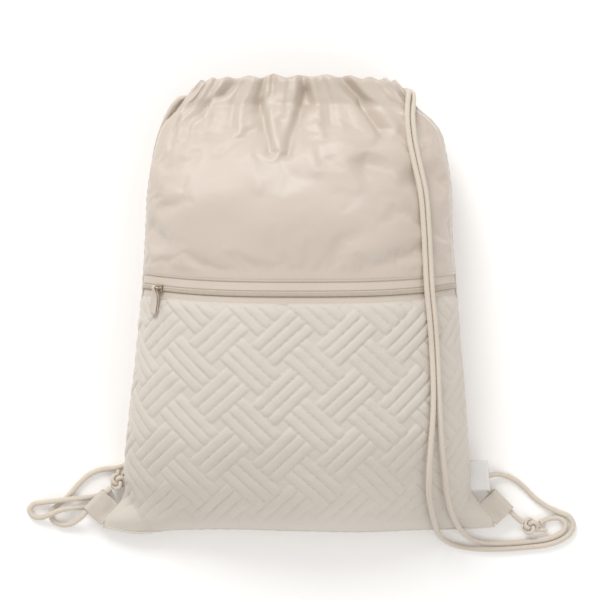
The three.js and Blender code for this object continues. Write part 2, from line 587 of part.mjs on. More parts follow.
add('front_satin_panel', satinPanel(), SATIN, 0.45);
add('quilted_pocket_panel', quiltedPocket(), QUILT, 0.7);
add('back_panel', backPanel(), SATIN, 0.5);
add('casing_front', casing(1, CASING_STEPS.front), SATIN, 0.45);
add('casing_back', casing(-1, CASING_STEPS.back), SATIN, 0.45);
add('zip_tape_upper', zipStrip(COIL_TO + SEAM_GAP, SATIN_FROM - SEAM_GAP, TAPE_INSET, TAPE_WALL, 14), ZIP_TAPE, 0.8);
add('zip_tape_lower', zipStrip(QUILT_TO + SEAM_GAP, COIL_FROM - SEAM_GAP, TAPE_INSET, TAPE_WALL, 14), ZIP_TAPE, 0.8);
add('zip_coil', zipStrip(COIL_FROM, COIL_TO, 0, COIL_THICKNESS, 14), ZIP_TAPE, 0.5);

const slider = add('zip_slider', sliderBody(), METAL, 0.35, 1);
const pull = add('zip_pull', pullTape(), WEBBING, 0.8);
for (const mesh of [slider, pull]) mesh.applyMatrix4(frameOn(SLIDER_PLACE, ZIP_LINE));

// Each tab stands across its corner at 45 degrees, just off the side seam
for (const [name, across] of [['corner_tab_right', 1], ['corner_tab_left', -1]]) {
  const { point } = skin(across, TAB_ALONG, 1);
  const tab = add(name, cornerTab(), WEBBING, 0.85);
  const out = new THREE.Vector3(across * Math.SQRT1_2, Math.SQRT1_2, 0);
  tab.rotation.z = Math.atan2(out.y, out.x);
  tab.position.set(point.x, point.y, TAB_HEIGHT).addScaledVector(out, TAB_GAP);
}
add('side_label', sideLabel(), 0xb9b9b6, 0.4);

for (const [name, route] of Object.entries(CORD_ROUTES)) add(name, freeCord(route), CORD_COLOUR, 0.9);
add('cord_right_in_casing', cordInCasing(CORD_LANES.right, 1), CORD_COLOUR, 0.9);
add('cord_left_in_casing', cordInCasing(CORD_LANES.left, -1), CORD_COLOUR, 0.9);
for (const [name, { place, tail }] of Object.entries(KNOTS)) {
  add(name, knot(tail), CORD_COLOUR, 0.9).position.set(...place);
}

export default group;
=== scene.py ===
# %% [markdown]
# A drawstring backpack, made as a lesson
# The bag is stuffed and lies on its back. Its top is satin that a pair of cords gathers, and its
# lower front is a padded pocket with a basket-weave quilting, closed by a zip. Each cell makes one
# piece: first what it is on the real bag, then how it is made here.

# %% Load the frame
import functools
import math

import bmesh
import bpy
from mathutils import Matrix, Vector, noise


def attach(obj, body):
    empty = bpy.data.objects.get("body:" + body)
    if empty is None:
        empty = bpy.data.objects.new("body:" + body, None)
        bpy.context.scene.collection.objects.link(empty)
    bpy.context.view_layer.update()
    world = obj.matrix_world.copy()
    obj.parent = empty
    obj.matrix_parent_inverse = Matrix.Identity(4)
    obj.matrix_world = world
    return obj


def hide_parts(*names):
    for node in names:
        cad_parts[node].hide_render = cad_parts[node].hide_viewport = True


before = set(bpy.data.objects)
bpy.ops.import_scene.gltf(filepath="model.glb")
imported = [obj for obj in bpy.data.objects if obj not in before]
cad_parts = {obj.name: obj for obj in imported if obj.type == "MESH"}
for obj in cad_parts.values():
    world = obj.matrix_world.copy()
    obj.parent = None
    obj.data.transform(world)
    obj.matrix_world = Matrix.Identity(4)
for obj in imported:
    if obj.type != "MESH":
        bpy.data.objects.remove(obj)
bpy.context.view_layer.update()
MM = 0.001

# %% [markdown]
# The camera looks straight down from far above, as the photograph does: a long lens keeps the
# sides of the bag from leaning. One pixel of a 600 pixel picture is 0.92 mm at the bag's middle.

# %% Camera
PIXEL = 0.92 * MM
PICTURE = 600
PIXELS_UP = 5
VIEW_HEIGHT = 2.6
LEVEL = 0.04
SENSOR = 36
lens = bpy.data.cameras.new("camera")
lens.sensor_width = SENSOR
lens.lens = SENSOR * (VIEW_HEIGHT - LEVEL) / (PICTURE * PIXEL)
camera = bpy.data.objects.new("camera", lens)
camera.location = (0, PIXELS_UP * PIXEL, VIEW_HEIGHT)
bpy.context.scene.collection.objects.link(camera)
bpy.context.scene.camera = camera
bpy.context.scene.view_settings.view_transform = "Standard"
print("lens", round(lens.lens, 1), "mm")

# %% [markdown]
# A few small helpers make every material. One turns a colour as it is picked on a screen into the
# linear numbers that a renderer works with, and one adds a node with its settings and links. The
# others stand for what every finish needs: a slow or fine cloud, a tint between two colours, a bump.

# %% Material helpers
def colour(hexadecimal):
    channels = [int(hexadecimal[i:i + 2], 16) / 255 for i in (1, 3, 5)]
    linear = [c / 12.92 if c <= 0.04045 else ((c + 0.055) / 1.055) ** 2.4 for c in channels]
    return (*linear, 1.0)


def add(tree, kind, inputs=None, **settings):
    node = tree.nodes.new(kind)
    for name, value in settings.items():
        setattr(node, name, value)
    for name, value in (inputs or {}).items():
        if isinstance(value, bpy.types.NodeSocket):
            tree.links.new(value, node.inputs[name])
        else:
            node.inputs[name].default_value = value
    return node


def surface_of(name, shader_inputs):
    material = bpy.data.materials.new(name)
    material.use_nodes = True
    tree = material.node_tree
    tree.nodes.clear()
    shader = add(tree, "ShaderNodeBsdfPrincipled", shader_inputs)
    add(tree, "ShaderNodeOutputMaterial", {"Surface": shader.outputs["BSDF"]})
    return material, tree, shader


def cloud(tree, place, scale, detail, roughness=0.6):
    inputs = {"Vector": place.outputs["Object"], "Scale": scale, "Detail": detail, "Roughness": roughness}
    return add(tree, "ShaderNodeTexNoise", inputs).outputs["Fac"]


def tint(tree, shader, factor, dark, light):
    mix = add(tree, "ShaderNodeMix", {"Factor": factor}, data_type="RGBA")
    mix.inputs[6].default_value = colour(dark)
    mix.inputs[7].default_value = colour(light)
    tree.links.new(mix.outputs[2], shader.inputs["Base Color"])


def bump(tree, height, strength, depth, **more):
    inputs = {"Height": height, "Strength": strength, "Distance": depth * MM, **more}
    return add(tree, "ShaderNodeBump", inputs).outputs["Normal"]


# %% [markdown]
# A woven cloth is threads that pass over and under each other. Two sets of bands along the cloth's
# own map give the warp and the weft, and their sum is a small bump. A slow and a fine noise shift
# the colour a little, as dye and slubs do. Real threads of 0.1 mm are too fine to show here, so
# they are drawn coarser. Stuffed cloth also has small creases, which are a second, wider bump.

# %% Woven cloth
def woven(name, light, dark, thread, depth, shader_inputs, warp_share=0.5, crease=0.0, grain=0.6):
    material, tree, shader = surface_of(name, shader_inputs)
    place = add(tree, "ShaderNodeTexCoord")
    bands = []
    for direction, share in (("X", warp_share), ("Y", 1 - warp_share)):
        band = add(
            tree, "ShaderNodeTexWave", {"Vector": place.outputs["UV"], "Scale": 1 / (thread * MM * 2)},
            wave_type="BANDS", bands_direction=direction,
        )
        inputs = {0: band.outputs["Fac"], 1: share}
        bands.append(add(tree, "ShaderNodeMath", inputs, operation="MULTIPLY").outputs[0])
    weave = add(tree, "ShaderNodeMath", {0: bands[0], 1: bands[1]})
    slow = cloud(tree, place, 14.0, 4.0)
    slub = cloud(tree, place, 900.0, 2.0)
    mixed = add(tree, "ShaderNodeMath", {0: slub, 1: grain, 2: slow}, operation="MULTIPLY_ADD")
    middle = 0.5 + grain / 2
    shade = add(
        tree, "ShaderNodeMapRange",
        {"Value": mixed.outputs[0], "From Min": middle - 0.3, "From Max": middle + 0.3},
    )
    tint(tree, shader, shade.outputs["Result"], dark, light)
    normal = bump(tree, weave.outputs[0], 0.5, depth)
    if crease:
        normal = bump(tree, cloud(tree, place, 110.0, 3.0, 0.55), 0.6, crease, Normal=normal)
    tree.links.new(normal, shader.inputs["Normal"])
    return material


# %% [markdown]
# Polyester satin floats its warp over four or more wefts, so it is smooth along one way and has a
# soft, broad sheen. The quilted cloth is a plain matt weave, greyer than the satin. The zip tape
# is a tight twill, the tabs are ribbed webbing, the cord is a round braid.

# %% Cloth finishes
SATIN = woven(
    "polyester_satin", "#cbbfb4", "#c5b7aa", 0.3, 0.05,
    {"Roughness": 0.3, "Sheen Weight": 0.25, "Sheen Roughness": 0.4, "Anisotropic": 0.3},
    warp_share=0.8, crease=0.2, grain=0.15,
)
QUILT = woven(
    "plain_woven_polyester", "#d3cbc1", "#ccc3b8", 0.45, 0.08,
    {"Roughness": 0.72, "Sheen Weight": 0.3, "Sheen Roughness": 0.5},
    crease=0.5,
)
ZIP_TAPE = woven(
    "zip_tape_twill", "#d0c5b9", "#c7baac", 0.6, 0.12,
    {"Roughness": 0.8, "Sheen Weight": 0.15},
)
WEBBING = woven(
    "ribbed_webbing", "#d5ccc0", "#c8beb1", 1.3, 0.55,
    {"Roughness": 0.8, "Sheen Weight": 0.25},
    warp_share=0.25,
)
RIBBON = woven(
    "satin_ribbon", "#eceae8", "#dedcda", 0.35, 0.05,
    {"Roughness": 0.38, "Sheen Weight": 0.3, "Anisotropic": 0.4},
    warp_share=0.8,
)
CORD_BRAID = woven(
    "braided_cord", "#dacfc1", "#cec2b3", 0.35, 0.1,
    {"Roughness": 0.85, "Sheen Weight": 0.4},
)
THREAD = woven(
    "sewing_thread", "#d9ccbe", "#cdbeae", 0.2, 0.05,
    {"Roughness": 0.6, "Sheen Weight": 0.3},
)

# %% [markdown]
# The slider is a zinc casting with a fine grain, under a pale champagne lacquer. The coil is a nylon
# wire, smooth and half matt. Its two colours are darker than the tapes': partly the nylon's own
# tone, partly painted shade of the zip's groove between the tapes.

# %% Zip finishes
def smooth_finish(name, shader_inputs, grain_scale, dark, light, depth=0.0):
    material, tree, shader = surface_of(name, shader_inputs)
    grain = cloud(tree, add(tree, "ShaderNodeTexCoord"), grain_scale, 3.0)
    tint(tree, shader, grain, dark, light)
    if depth:
        tree.links.new(bump(tree, grain, 0.3, depth), shader.inputs["Normal"])
    return material


METAL = smooth_finish(
    "lacquered_zinc", {"Metallic": 0.85, "Roughness": 0.32, "Coat Weight": 0.3, "Coat Roughness": 0.2},
    700.0, "#b3a590", "#ccc0ad", depth=0.05,
)
# the coil's colours are darkened with painted shade of the zip's groove
NYLON_WITH_PAINTED_SHADE = smooth_finish("nylon_wire_painted_shade", {"Roughness": 0.45, "IOR": 1.53}, 250.0, "#b3a799", "#c2b6a8")

# %% [markdown]
# Nearly every piece of a bag is a strip or sheet of cloth, so cloth_grid makes them all: a flat
# grid whose points are moved to where the cloth goes. Its map is in metres of cloth, which keeps
# the weave at one scale on every piece. A wall is given by the Solidify modifier, inwards.

# %% Helpers for cloth
def to_piece(mesh, name, material):
    data = bpy.data.meshes.new(name)
    mesh.to_mesh(data)
    mesh.free()
    data.materials.append(material)
    piece = bpy.data.objects.new(name, data)
    bpy.context.scene.collection.objects.link(piece)
    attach(piece, "root")
    return piece


def thicken(piece, wall):
    solid = piece.modifiers.new("wall", "SOLIDIFY")
    solid.thickness = wall * MM
    solid.offset = -1


def cloth_grid(name, columns, rows, place, size, material, closed=False, wall=0.0):
    mesh = bmesh.new()
    bmesh.ops.create_grid(mesh, x_segments=columns, y_segments=rows, size=0.5)
    layer = mesh.loops.layers.uv.verify()
    for face in mesh.faces:
        face.smooth = True
        for loop in face.loops:
            u, v = loop.vert.co.x + 0.5, loop.vert.co.y + 0.5
            loop[layer].uv = (u * size[0] * MM, v * size[1] * MM)
    for vertex in mesh.verts:
        vertex.co = place(vertex.co.x + 0.5, vertex.co.y + 0.5) * MM
    if closed:
        bmesh.ops.remove_doubles(mesh, verts=mesh.verts, dist=1e-6)
    piece = to_piece(mesh, name, material)
    if wall:
        thicken(piece, wall)
    return piece


# %% [markdown]
# A cord is a round braid of limp yarn. Its route is a list of given places, and a smooth curve runs
# through them, as in the solid model. It passes each place at a time that grows by the square root
# of the distance, which keeps it from swinging out where places are uneven.

# %% Curve through the points of a route
def route_points(route, step):
    points = [Vector(point) for point in route]
    points = [2 * points[0] - points[1]] + points + [2 * points[-1] - points[-2]]
    curve = []
    for a, b, c, d in zip(points, points[1:], points[2:], points[3:]):
        t = [0.0]
        for start, end in ((a, b), (b, c), (c, d)):
            t.append(t[-1] + max((end - start).length, 1e-4) ** 0.5)
        count = max(2, round((c - b).length / step))
        for k in range(count):
            s = t[1] + (t[2] - t[1]) * k / count
            ab = a + (b - a) * (s - t[0]) / (t[1] - t[0])
            bc = b + (c - b) * (s - t[1]) / (t[2] - t[1])
            cd = c + (d - c) * (s - t[2]) / (t[3] - t[2])
            abc = ab + (bc - ab) * (s - t[0]) / (t[2] - t[0])
            bcd = bc + (cd - bc) * (s - t[1]) / (t[3] - t[1])
            curve.append(abc + (bcd - abc) * (s - t[1]) / (t[2] - t[1]))
    curve.append(points[-2])
    return curve


def length_of(points):
    return sum((b - a).length for a, b in zip(points, points[1:]))


# %% [markdown]
# The tube around such a curve is again a grid, rolled up. At each point the ring of the tube is
# turned as little as possible from the one before, so that the braid does not twist. The braid is
# in the shape too: four strands wind to the left and four to the right, and stand out a little.

# %% Braided tube
CORD = 5.0
BRAID_PITCH = 4.5
STRANDS = 4


def rings(points):
    tangents = [
        (points[min(i + 1, len(points) - 1)] - points[max(i - 1, 0)]).normalized()
        for i in range(len(points))
    ]
    side = tangents[0].orthogonal().normalized()
    frames = []
    for tangent in tangents:
        side = (side - tangent * side.dot(tangent)).normalized()
        frames.append((side, tangent.cross(side)))
    return frames


def braided_tube(name, points, diameter, material, around=16, ends=0.0, relief=0.22, pressed=None):
    frames = rings(points)
    total = length_of(points)
    runs = [0.0]
    for a, b in zip(points, points[1:]):
        runs.append(runs[-1] + (b - a).length)
    last = len(points) - 1

    def place(u, v):
        i = min(last, round(u * last))
        angle = 2 * math.pi * v
        wind = 2 * math.pi * runs[i] / BRAID_PITCH
        left = math.sin(STRANDS * angle + wind)
        right = math.sin(STRANDS * angle - wind)
        radius = diameter / 2 + relief * (max(left, right) - 0.6) * 0.6
        if pressed:
            radius *= pressed(runs[i], total)
        if ends:
            near = min(runs[i], total - runs[i])
            radius *= math.sqrt(max(0.0, 1 - (1 - min(near / ends, 1)) ** 2))
        side, up = frames[i]
        return points[i] + (side * math.cos(angle) + up * math.sin(angle)) * radius

    size = (total, math.pi * diameter)
    return cloth_grid(name, last, around, place, size, material, closed=True)


# %% [markdown]
# The right pair of strands leaves the casing and lies over the front of the bag, drops over its
# bottom edge and curls on the floor. One of the two goes through the loop of the right corner tab
# before both end in a knot. The left pair drops straight to the floor beside the bag.

# %% Free cords
# x, y and height in mm; a place without a height lies on the floor
CORD_ROUTES = {
    "cord_right_1": [
        (94.6, 197.1, 40), (97.8, 197.4, 41.6), (99.4, 195, 46), (99.1, 189.5, 50.5), (98.4, 182.5, 54.2),
        (97.9, 174, 59.6), (98.2, 163, 65.7), (99.8, 148, 72.4), (103, 131, 78.2), (109, 101, 85.8),
        (111.4, 72, 89.3), (112.8, 43, 91.4), (114.2, 14, 94.8), (116.7, -12, 95.2), (119, -45, 94.9),
        (120.2, -75, 94), (119.8, -100, 92), (118, -130, 86.5), (117, -152, 78.5), (117.2, -170, 67.5),
        (119, -182, 57), (121.5, -193, 46), (124.5, -203, 34), (128, -211.5, 21.5), (134, -218.5, 10.5),
        (143, -223.5, 4), (155, -226.5), (172, -228), (195, -227.5), (213, -226), (230, -224),
        (243.5, -219.5), (252.5, -212.5), (255, -204.5), (251, -197.5), (242, -193.5), (230, -188),
        (219.5, -180.5), (210.5, -171.5), (201.5, -164, 2.7), (191.5, -159.2, 3.8), (181.5, -157.8, 6),
        (174.3, -160.3, 8.6), (171.4, -165, 10.4), (173.5, -169.8, 11.3), (177.7, -174, 11.3),
        (186.6, -182.9, 11.3), (195.4, -191.7, 11.3), (200.5, -196.8, 10.6), (207.4, -202.6, 8.1),
    ],
    "cord_right_2": [
        (94.6, 197.1, 29.8), (99.3, 197.6, 31.5), (103.2, 195.6, 36), (104.3, 190.5, 43),
        (103.6, 182.5, 50.5), (103, 174, 57), (103.3, 163, 63.5), (104.9, 148, 70.3), (108, 131, 76.3),
        (113.9, 101, 83.6), (116.2, 72, 87.1), (117.6, 43, 89.2), (119, 14, 92.6), (121.5, -12, 93),
        (123.8, -45, 92.5), (125.1, -75, 91.3), (126.3, -100, 88.4), (128.6, -130, 81),
        (131.3, -152, 71.5), (133.5, -170, 59.5), (136.5, -183, 48), (140.5, -194, 37),
        (145.5, -203.5, 26.5), (151.5, -211.5, 15.5), (159, -217.5, 7), (168, -221, 3), (182, -222.3),
        (198, -222), (214, -220.6), (229, -218.4), (239.5, -215), (246.5, -209.5), (247.5, -203.3),
        (242.5, -199.3), (234, -199.2, 3.2), (226.5, -201.5, 4.2), (224, -203.2, 4.6),
    ],
    "cord_left_1": [
        (-104.5, 190.6, 40), (-110, 189.8, 41.2), (-116, 184.2, 40.5), (-122, 174, 36.5),
        (-128, 161, 27.5), (-132.8, 147, 16.5), (-136.3, 130, 7.5), (-138, 110, 3), (-138.6, 85),
        (-137.6, 55), (-137, 20), (-138, -20), (-141, -60), (-145.5, -97), (-150, -123), (-154, -137),
        (-161, -148), (-171.5, -152.3), (-184.5, -153.6), (-196.5, -158.3), (-206, -166.5),
        (-212.5, -174), (-220, -182), (-228, -188.5), (-232.5, -195), (-230, -201.5), (-223, -205, 2.7),
        (-213, -204, 4.5), (-204.5, -198.2, 9), (-198, -191.7, 11.3), (-189.1, -182.9, 11.3),
        (-180.3, -174.1, 11.3), (-176.4, -170.2, 11.2),
    ],
    "cord_left_2": [
        (-104.5, 190.6, 29.8), (-109.5, 189.2, 28.5), (-115.5, 183, 24), (-120, 173.5, 16.5),
        (-123.5, 161, 9.5), (-126, 150, 5.5), (-128.2, 139, 3.3), (-130.5, 120), (-131.8, 90),
        (-131.5, 55), (-130.5, 20), (-131.5, -20), (-134.5, -60), (-139, -97), (-144.5, -125),
        (-149, -147), (-151.5, -164), (-155.5, -178), (-164, -187.5), (-177, -190.3), (-191, -189.6),
        (-203, -189, 3.4), (-214, -189.3, 6.8), (-224.5, -191.5, 8.2), (-234, -195.8, 7.6),
        (-242, -198.3, 4), (-249, -197), (-252.5, -191.5), (-248.5, -186), (-240, -184.3, 3.6),
        (-231, -183, 6.8), (-221, -181.6, 8.2), (-211.5, -180.8, 7), (-202, -180.4, 3.5), (-192, -178.8),
        (-183, -175.8), (-176.2, -172.4, 3.8),
    ],
}
cords = {}
for name, route in CORD_ROUTES.items():
    points = route_points([(*place, CORD / 2)[:3] for place in route], 0.9)
    cord = braided_tube(f"braid_{name}", points, CORD, CORD_BRAID)
    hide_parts(name)
    cords[name] = (cord, points)
    print(name, round(length_of(points)), "mm,", len(cord.data.vertices), "points")

# %% [markdown]
# Both strands of a side end in one overhand knot. Drawn tight, an overhand knot is a trefoil: the
# cord goes round three lobes and comes out beside itself. Two short tails show below it.

# %% Knots
KNOT_RADIUS = 4.4
KNOT_CORD = 4.0
KNOT_STEPS = 90
KNOTS = {"knot_right": (214.8, -206.2, 6), "knot_left": (-169.5, -164.5, 9)}
# knot: start and end of each tail, from the middle of the knot
TAILS = {
    "knot_right": [((3.7, -3.7, -2), (16.0, -4.6, -3.2)), ((4.5, 1.0, -2.5), (15.2, 1.6, -3.4))],
    "knot_left": [((0, 5.9, -1.5), (0.5, 11.5, -1.6)), ((3.0, 4.5, -3.0), (6.5, 9.6, -4.6))],
}


def trefoil(place):
    points = []
    for k in range(KNOT_STEPS + 1):
        turn = 4 * math.pi * k / KNOT_STEPS
        wave = 1.5 * turn
        reach = KNOT_RADIUS * (2 + math.cos(wave)) / 2
        points.append(Vector((
            place[0] + reach * math.cos(turn),
            place[1] + reach * math.sin(turn),
            place[2] + KNOT_RADIUS * math.sin(wave) / 2,
        )))
    return points


def join(name, pieces):
    mesh = bmesh.new()
    for piece in pieces:
        mesh.from_mesh(piece.data)
    data = pieces[0].data
    mesh.to_mesh(data)
    mesh.free()
    for piece in pieces[1:]:
        bpy.data.objects.remove(piece)
    pieces[0].name = name
    return pieces[0]


for name, spot in KNOTS.items():
    place = Vector(spot)
    parts = [braided_tube(f"{name}_lobes", trefoil(place), KNOT_CORD, CORD_BRAID)]
    for k, (start, end) in enumerate(TAILS[name]):
        bend = place + (Vector(start) + Vector(end)) / 2 + Vector((0, 0.7, 0.3))
        tail = route_points([place + Vector(start), bend, place + Vector(end)], 0.8)
        parts.append(braided_tube(f"{name}_tail_{k}", tail, KNOT_CORD, CORD_BRAID, ends=1.2))
    join(f"tied_{name}", parts)
    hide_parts(name)

for name, (cord, points) in cords.items():
    side = "right" if "right" in name else "left"

# %% [markdown]
# The stuffed body has no straight line in it. It is described as sections from the bottom seam up
# to the casing: how far the side seams stand out, how high they lie, how far the front and the back
# stand away from them, how the cloth bows and how full the section is. A smooth curve through the
# rows gives every place between.

# %% Shape of the stuffed body
BODY_LENGTH = 392
BOTTOM_SEAM_Y = -209
HALF_WIDTH = 150
SEAM_HEIGHT = 42
FRONT_RISE = 68
BACK_DEPTH = 54
BOTTOM_TURN = 30
SIDE_BOW = 9
# where the bottom edge hangs lower: place across the bag, width, drop in mm
BOTTOM_DROPS = [(-0.83, 0.13, 5), (-0.35, 0.2, -1.3), (0.3, 0.22, 1.4), (0.85, 0.12, 1.0)]
SECTION_COLUMNS = ("along", "left", "right", "seam", "front", "back", "bow", "fullness")
SECTIONS = [
    (0.0, 1.22, 1.205, 0.27, 0.15, -0.19, 0.35, 1.4),
    (0.02, 1.21, 1.19, 0.27, 0.46, 0.04, 0.35, 1.4),
    (0.05, 1.13, 1.12, 0.29, 0.68, 0.3, 0.35, 1.5),
    (0.08, 1.085, 1.067, 0.345, 0.8, 0.5, 0.4, 1.8),
    (0.12, 1.08, 1.05, 0.47, 0.88, 0.7, 0.5, 2.1),
    (0.24, 1.049, 1.024, 0.84, 0.96, 0.9, 0.7, 2.4),
    (0.46, 0.981, 0.975, 1.0, 1.0, 1.0, 1.0, 2.4),
    (0.69, 0.945, 0.932, 1.0, 0.94, 1.0, 0.6, 2.4),
    (0.8, 0.932, 0.926, 0.98, 0.82, 0.95, 0.2, 2.4),
    (0.89, 0.895, 0.895, 0.93, 0.66, 0.8, 0.0, 2.2),
    (0.945, 0.858, 0.86, 0.9, 0.5, 0.6, -0.2, 2.0),
    (0.975, 0.816, 0.802, 0.87, 0.39, 0.45, -0.3, 2.0),
    (1.0, 0.755, 0.727, 0.83, 0.28, 0.3, -0.35, 2.0),
]


def smoothstep(value):
    t = min(1.0, max(0.0, value))
    return t * t * (3 - 2 * t)


def blend(a, b, t):
    return a + (b - a) * t


@functools.lru_cache(maxsize=None)
def section(name, along):
    k = SECTION_COLUMNS.index(name)
    last = len(SECTIONS) - 1
    row = 0
    while row < last - 1 and along > SECTIONS[row + 1][0]:
        row += 1

    def slope(i):
        before, after = SECTIONS[max(i - 1, 0)], SECTIONS[min(i + 1, last)]
        return (after[k] - before[k]) / (after[0] - before[0])

    span = SECTIONS[row + 1][0] - SECTIONS[row][0]
    t = min(1.0, max(0.0, (along - SECTIONS[row][0]) / span))
    rise = SECTIONS[row + 1][k] - SECTIONS[row][k]
    a = slope(row) * span - rise
    b = rise - slope(row + 1) * span
    return blend(SECTIONS[row][k], SECTIONS[row + 1][k], t) + t * (1 - t) * (a * (1 - t) + b * t)


def skin(across, along, side=1):
    s = min(1.0, max(-1.0, across))
    t = min(1.0, max(0.0, along))
    sine = math.sin(s * math.pi / 2)
    cosine = math.cos(s * math.pi / 2)
    half = HALF_WIDTH * section("left" if s < 0 else "right", t)
    fullness = section("fullness", t)
    shape = max(0.0, 1 - abs(sine) ** fullness) ** (1 / fullness)
    rise = FRONT_RISE * section("front", t) if side > 0 else BACK_DEPTH * section("back", t)
    z = SEAM_HEIGHT * section("seam", t) + side * (rise * shape + 0.25)
    y = BOTTOM_SEAM_Y + t * BODY_LENGTH + SIDE_BOW * section("bow", t) * abs(sine) ** 3
    turn = max(0.0, 1 - t * BODY_LENGTH / BOTTOM_TURN) ** 2
    if turn:
        for place, wide, drop in BOTTOM_DROPS:
            y -= turn * drop * math.exp(-((sine - place) / wide) ** 2)
    outward = Vector((sine, -turn, side * cosine * (1 - turn))).normalized()
    return Vector((half * sine, y, z if side > 0 else max(0.0, z))), outward


print("crown of the front", [round(x) for x in skin(0, 0.46)[0]], "mm")

# %% [markdown]
# Gathering packs the full width of the bag into 23 cm, so the satin stands in pleats at the top.
# They are deep at the stitch line and die out over a third of the bag. Below them the pull of the
# filling leaves a few long folds. Each is one line of the table: where it starts and ends, how
# wide it is and how far it lifts; a negative lift is a valley.

# %% Pleats and folds of the satin
PLEATS = 12
PLEAT_DEPTH = 1.3
PLEAT_FADE = 0.3
FOLD_WIDTH = 10
FOLD_LIFT = 5
# from x, from along, to x, to along, width, lift
FOLDS = [
    (-0.2, 1.03, -0.12, 0.88, 0.5, 0.6),
    (-0.05, 1.03, -0.1, 0.89, 0.7, 0.55),
    (-0.115, 0.98, -0.115, 0.93, 1.0, 0.3),
    (0.03, 1.03, -0.08, 0.88, 0.45, -1.2),
    (-0.26, 1.0, -0.17, 0.885, 0.45, -0.7),
    (-0.26, 1.06, -0.265, 0.985, 0.35, -1.1),
    (-0.19, 1.06, -0.18, 1.01, 0.3, -0.8),
    (0.02, 1.07, 0.06, 1.0, 0.45, -1.3),
    (-0.47, 1.05, -0.62, 0.985, 0.5, -1.2),
    (-0.44, 0.9, -0.29, 0.955, 0.7, 0.3),
    (-0.48, 0.88, -0.33, 0.93, 0.5, -0.35),
    (0.3, 1.06, 0.51, 0.94, 0.55, -2.0),
    (0.24, 1.05, 0.42, 0.93, 0.9, 0.45),
    (0.4, 1.06, 0.58, 0.95, 0.8, 0.45),
    (0.24, 0.92, 0.6, 0.845, 1.3, 0.7),
    (0.42, 0.855, 0.74, 0.82, 1.3, -1.8),
    (0.44, 0.8, 0.7, 0.7, 2.2, -0.5),
    (0.25, 0.67, 0.57, 0.745, 1.2, -0.5),
    (0.3, 0.63, 0.62, 0.7, 1.2, 0.5),
    (0.4, 0.6, 0.72, 0.65, 0.8, -0.4),
    (-0.8, 0.72, -0.5, 0.78, 1.8, 0.5),
    (-0.82, 0.64, -0.64, 0.6, 0.9, 0.9),
    (-0.9, 0.7, -0.78, 0.63, 0.8, -0.9),
    (-0.62, 0.62, -0.5, 0.6, 0.7, -0.4),
    (-0.9, 0.86, -0.8, 0.78, 0.8, 0.5),
]
# finer creases that only the cloth itself has
CREASES = [
    (-0.33, 1.06, -0.36, 0.93, 0.35, 0.5),
    (-0.4, 1.05, -0.43, 0.95, 0.35, -0.5),
    (-0.54, 1.04, -0.58, 0.91, 0.4, 0.5),
    (-0.7, 1.03, -0.72, 0.92, 0.35, 0.4),
    (-0.1, 1.06, -0.11, 0.98, 0.4, 0.5),
    (0.1, 1.06, 0.13, 0.93, 0.4, 0.5),
    (0.17, 1.05, 0.2, 0.95, 0.35, -0.5),
    (0.6, 1.03, 0.7, 0.9, 0.4, 0.5),
    (0.67, 1.03, 0.78, 0.93, 0.35, -0.4),
    (0.0, 0.93, 0.1, 0.84, 0.6, 0.3),
    (0.1, 0.95, 0.16, 0.88, 0.5, 0.35),
    (0.2, 0.9, 0.34, 0.8, 0.6, 0.25),
    (-0.3, 0.88, -0.24, 0.8, 0.6, 0.25),
    (-0.62, 0.88, -0.7, 0.8, 0.5, -0.3),
    (0.66, 0.72, 0.86, 0.66, 0.5, 0.3),
    (0.6, 0.64, 0.84, 0.62, 0.45, -0.3),
    (-0.2, 0.62, 0.1, 0.605, 0.5, -0.15),
    (-0.4, 0.66, -0.2, 0.63, 0.7, 0.2),
]


def pleat(across, along):
    fade = smoothstep((along - 1 + PLEAT_FADE) / PLEAT_FADE) ** 2
    edge = 1 - abs(across) ** 6
    wander = 1.1 * math.sin(across * 9) + 0.8 * math.sin(across * 4 + 1)
    return PLEAT_DEPTH * fade * edge * math.cos(math.pi * PLEATS * across + wander * math.pi)


def folds(across, along, table):
    width = section("left" if across < 0 else "right", min(1.0, along))
    x = math.sin(across * math.pi / 2) * width
    lift = 0.0
    for from_x, from_along, to_x, to_along, wide, tall in table:
        run_x, run_y = (to_x - from_x) * HALF_WIDTH, (to_along - from_along) * BODY_LENGTH
        at_x, at_y = (x - from_x) * HALF_WIDTH, (along - from_along) * BODY_LENGTH
        length = math.hypot(run_x, run_y)
        down = (at_x * run_x + at_y * run_y) / length
        aside = (at_x * run_y - at_y * run_x) / length
        beyond = max(0.0, -down, down - length)
        reach = (aside ** 2 + beyond ** 2) / (wide * FOLD_WIDTH) ** 2
        if reach < 9:
            lift += tall * FOLD_LIFT * math.exp(-reach)
    return lift


def all_folds(across, along):
    return folds(across, along, FOLDS) + folds(across, along, CREASES)


# %% [markdown]
# The zip runs level across the front. From the bottom up there are the quilted pocket, a narrow
# strip of the lower tape, the coil, a wide strip of the upper tape and the folded edge of the
# satin. These places along the front are the same in the solid model.

# %% Places along the front
ZIP_LINE = 219
COIL_WIDTH = 5
UPPER_TAPE = 7
LOWER_TAPE = 5
GAP = 0.5
QUILT_TO = ZIP_LINE - COIL_WIDTH / 2 - LOWER_TAPE - 2 * GAP
COIL_FROM = ZIP_LINE - COIL_WIDTH / 2
COIL_TO = ZIP_LINE + COIL_WIDTH / 2
SATIN_FROM = COIL_TO + UPPER_TAPE + 2 * GAP
HEM_STEP = 0.5


def satin_lift(across, along):
    near_zip = smoothstep((along * BODY_LENGTH - SATIN_FROM) / BODY_LENGTH * 14)
    near_seam = smoothstep((1 - abs(across)) * 6)
    hem = HEM_STEP * smoothstep((along * BODY_LENGTH - SATIN_FROM) / 3) - HEM_STEP
    return pleat(across, along) + all_folds(across, along) * near_zip * near_seam + hem


# %% [markdown]
# Folds that are only drawn look stiff. A short cloth simulation lets the sheet find its own ones:
# its border is held where it is sewn, the cloth is a little too large for its place, most of all
# under the gathers, and the filling presses from inside. No point moves further than the cap.

# %% Let a sheet settle
STIFFNESS = 15.0


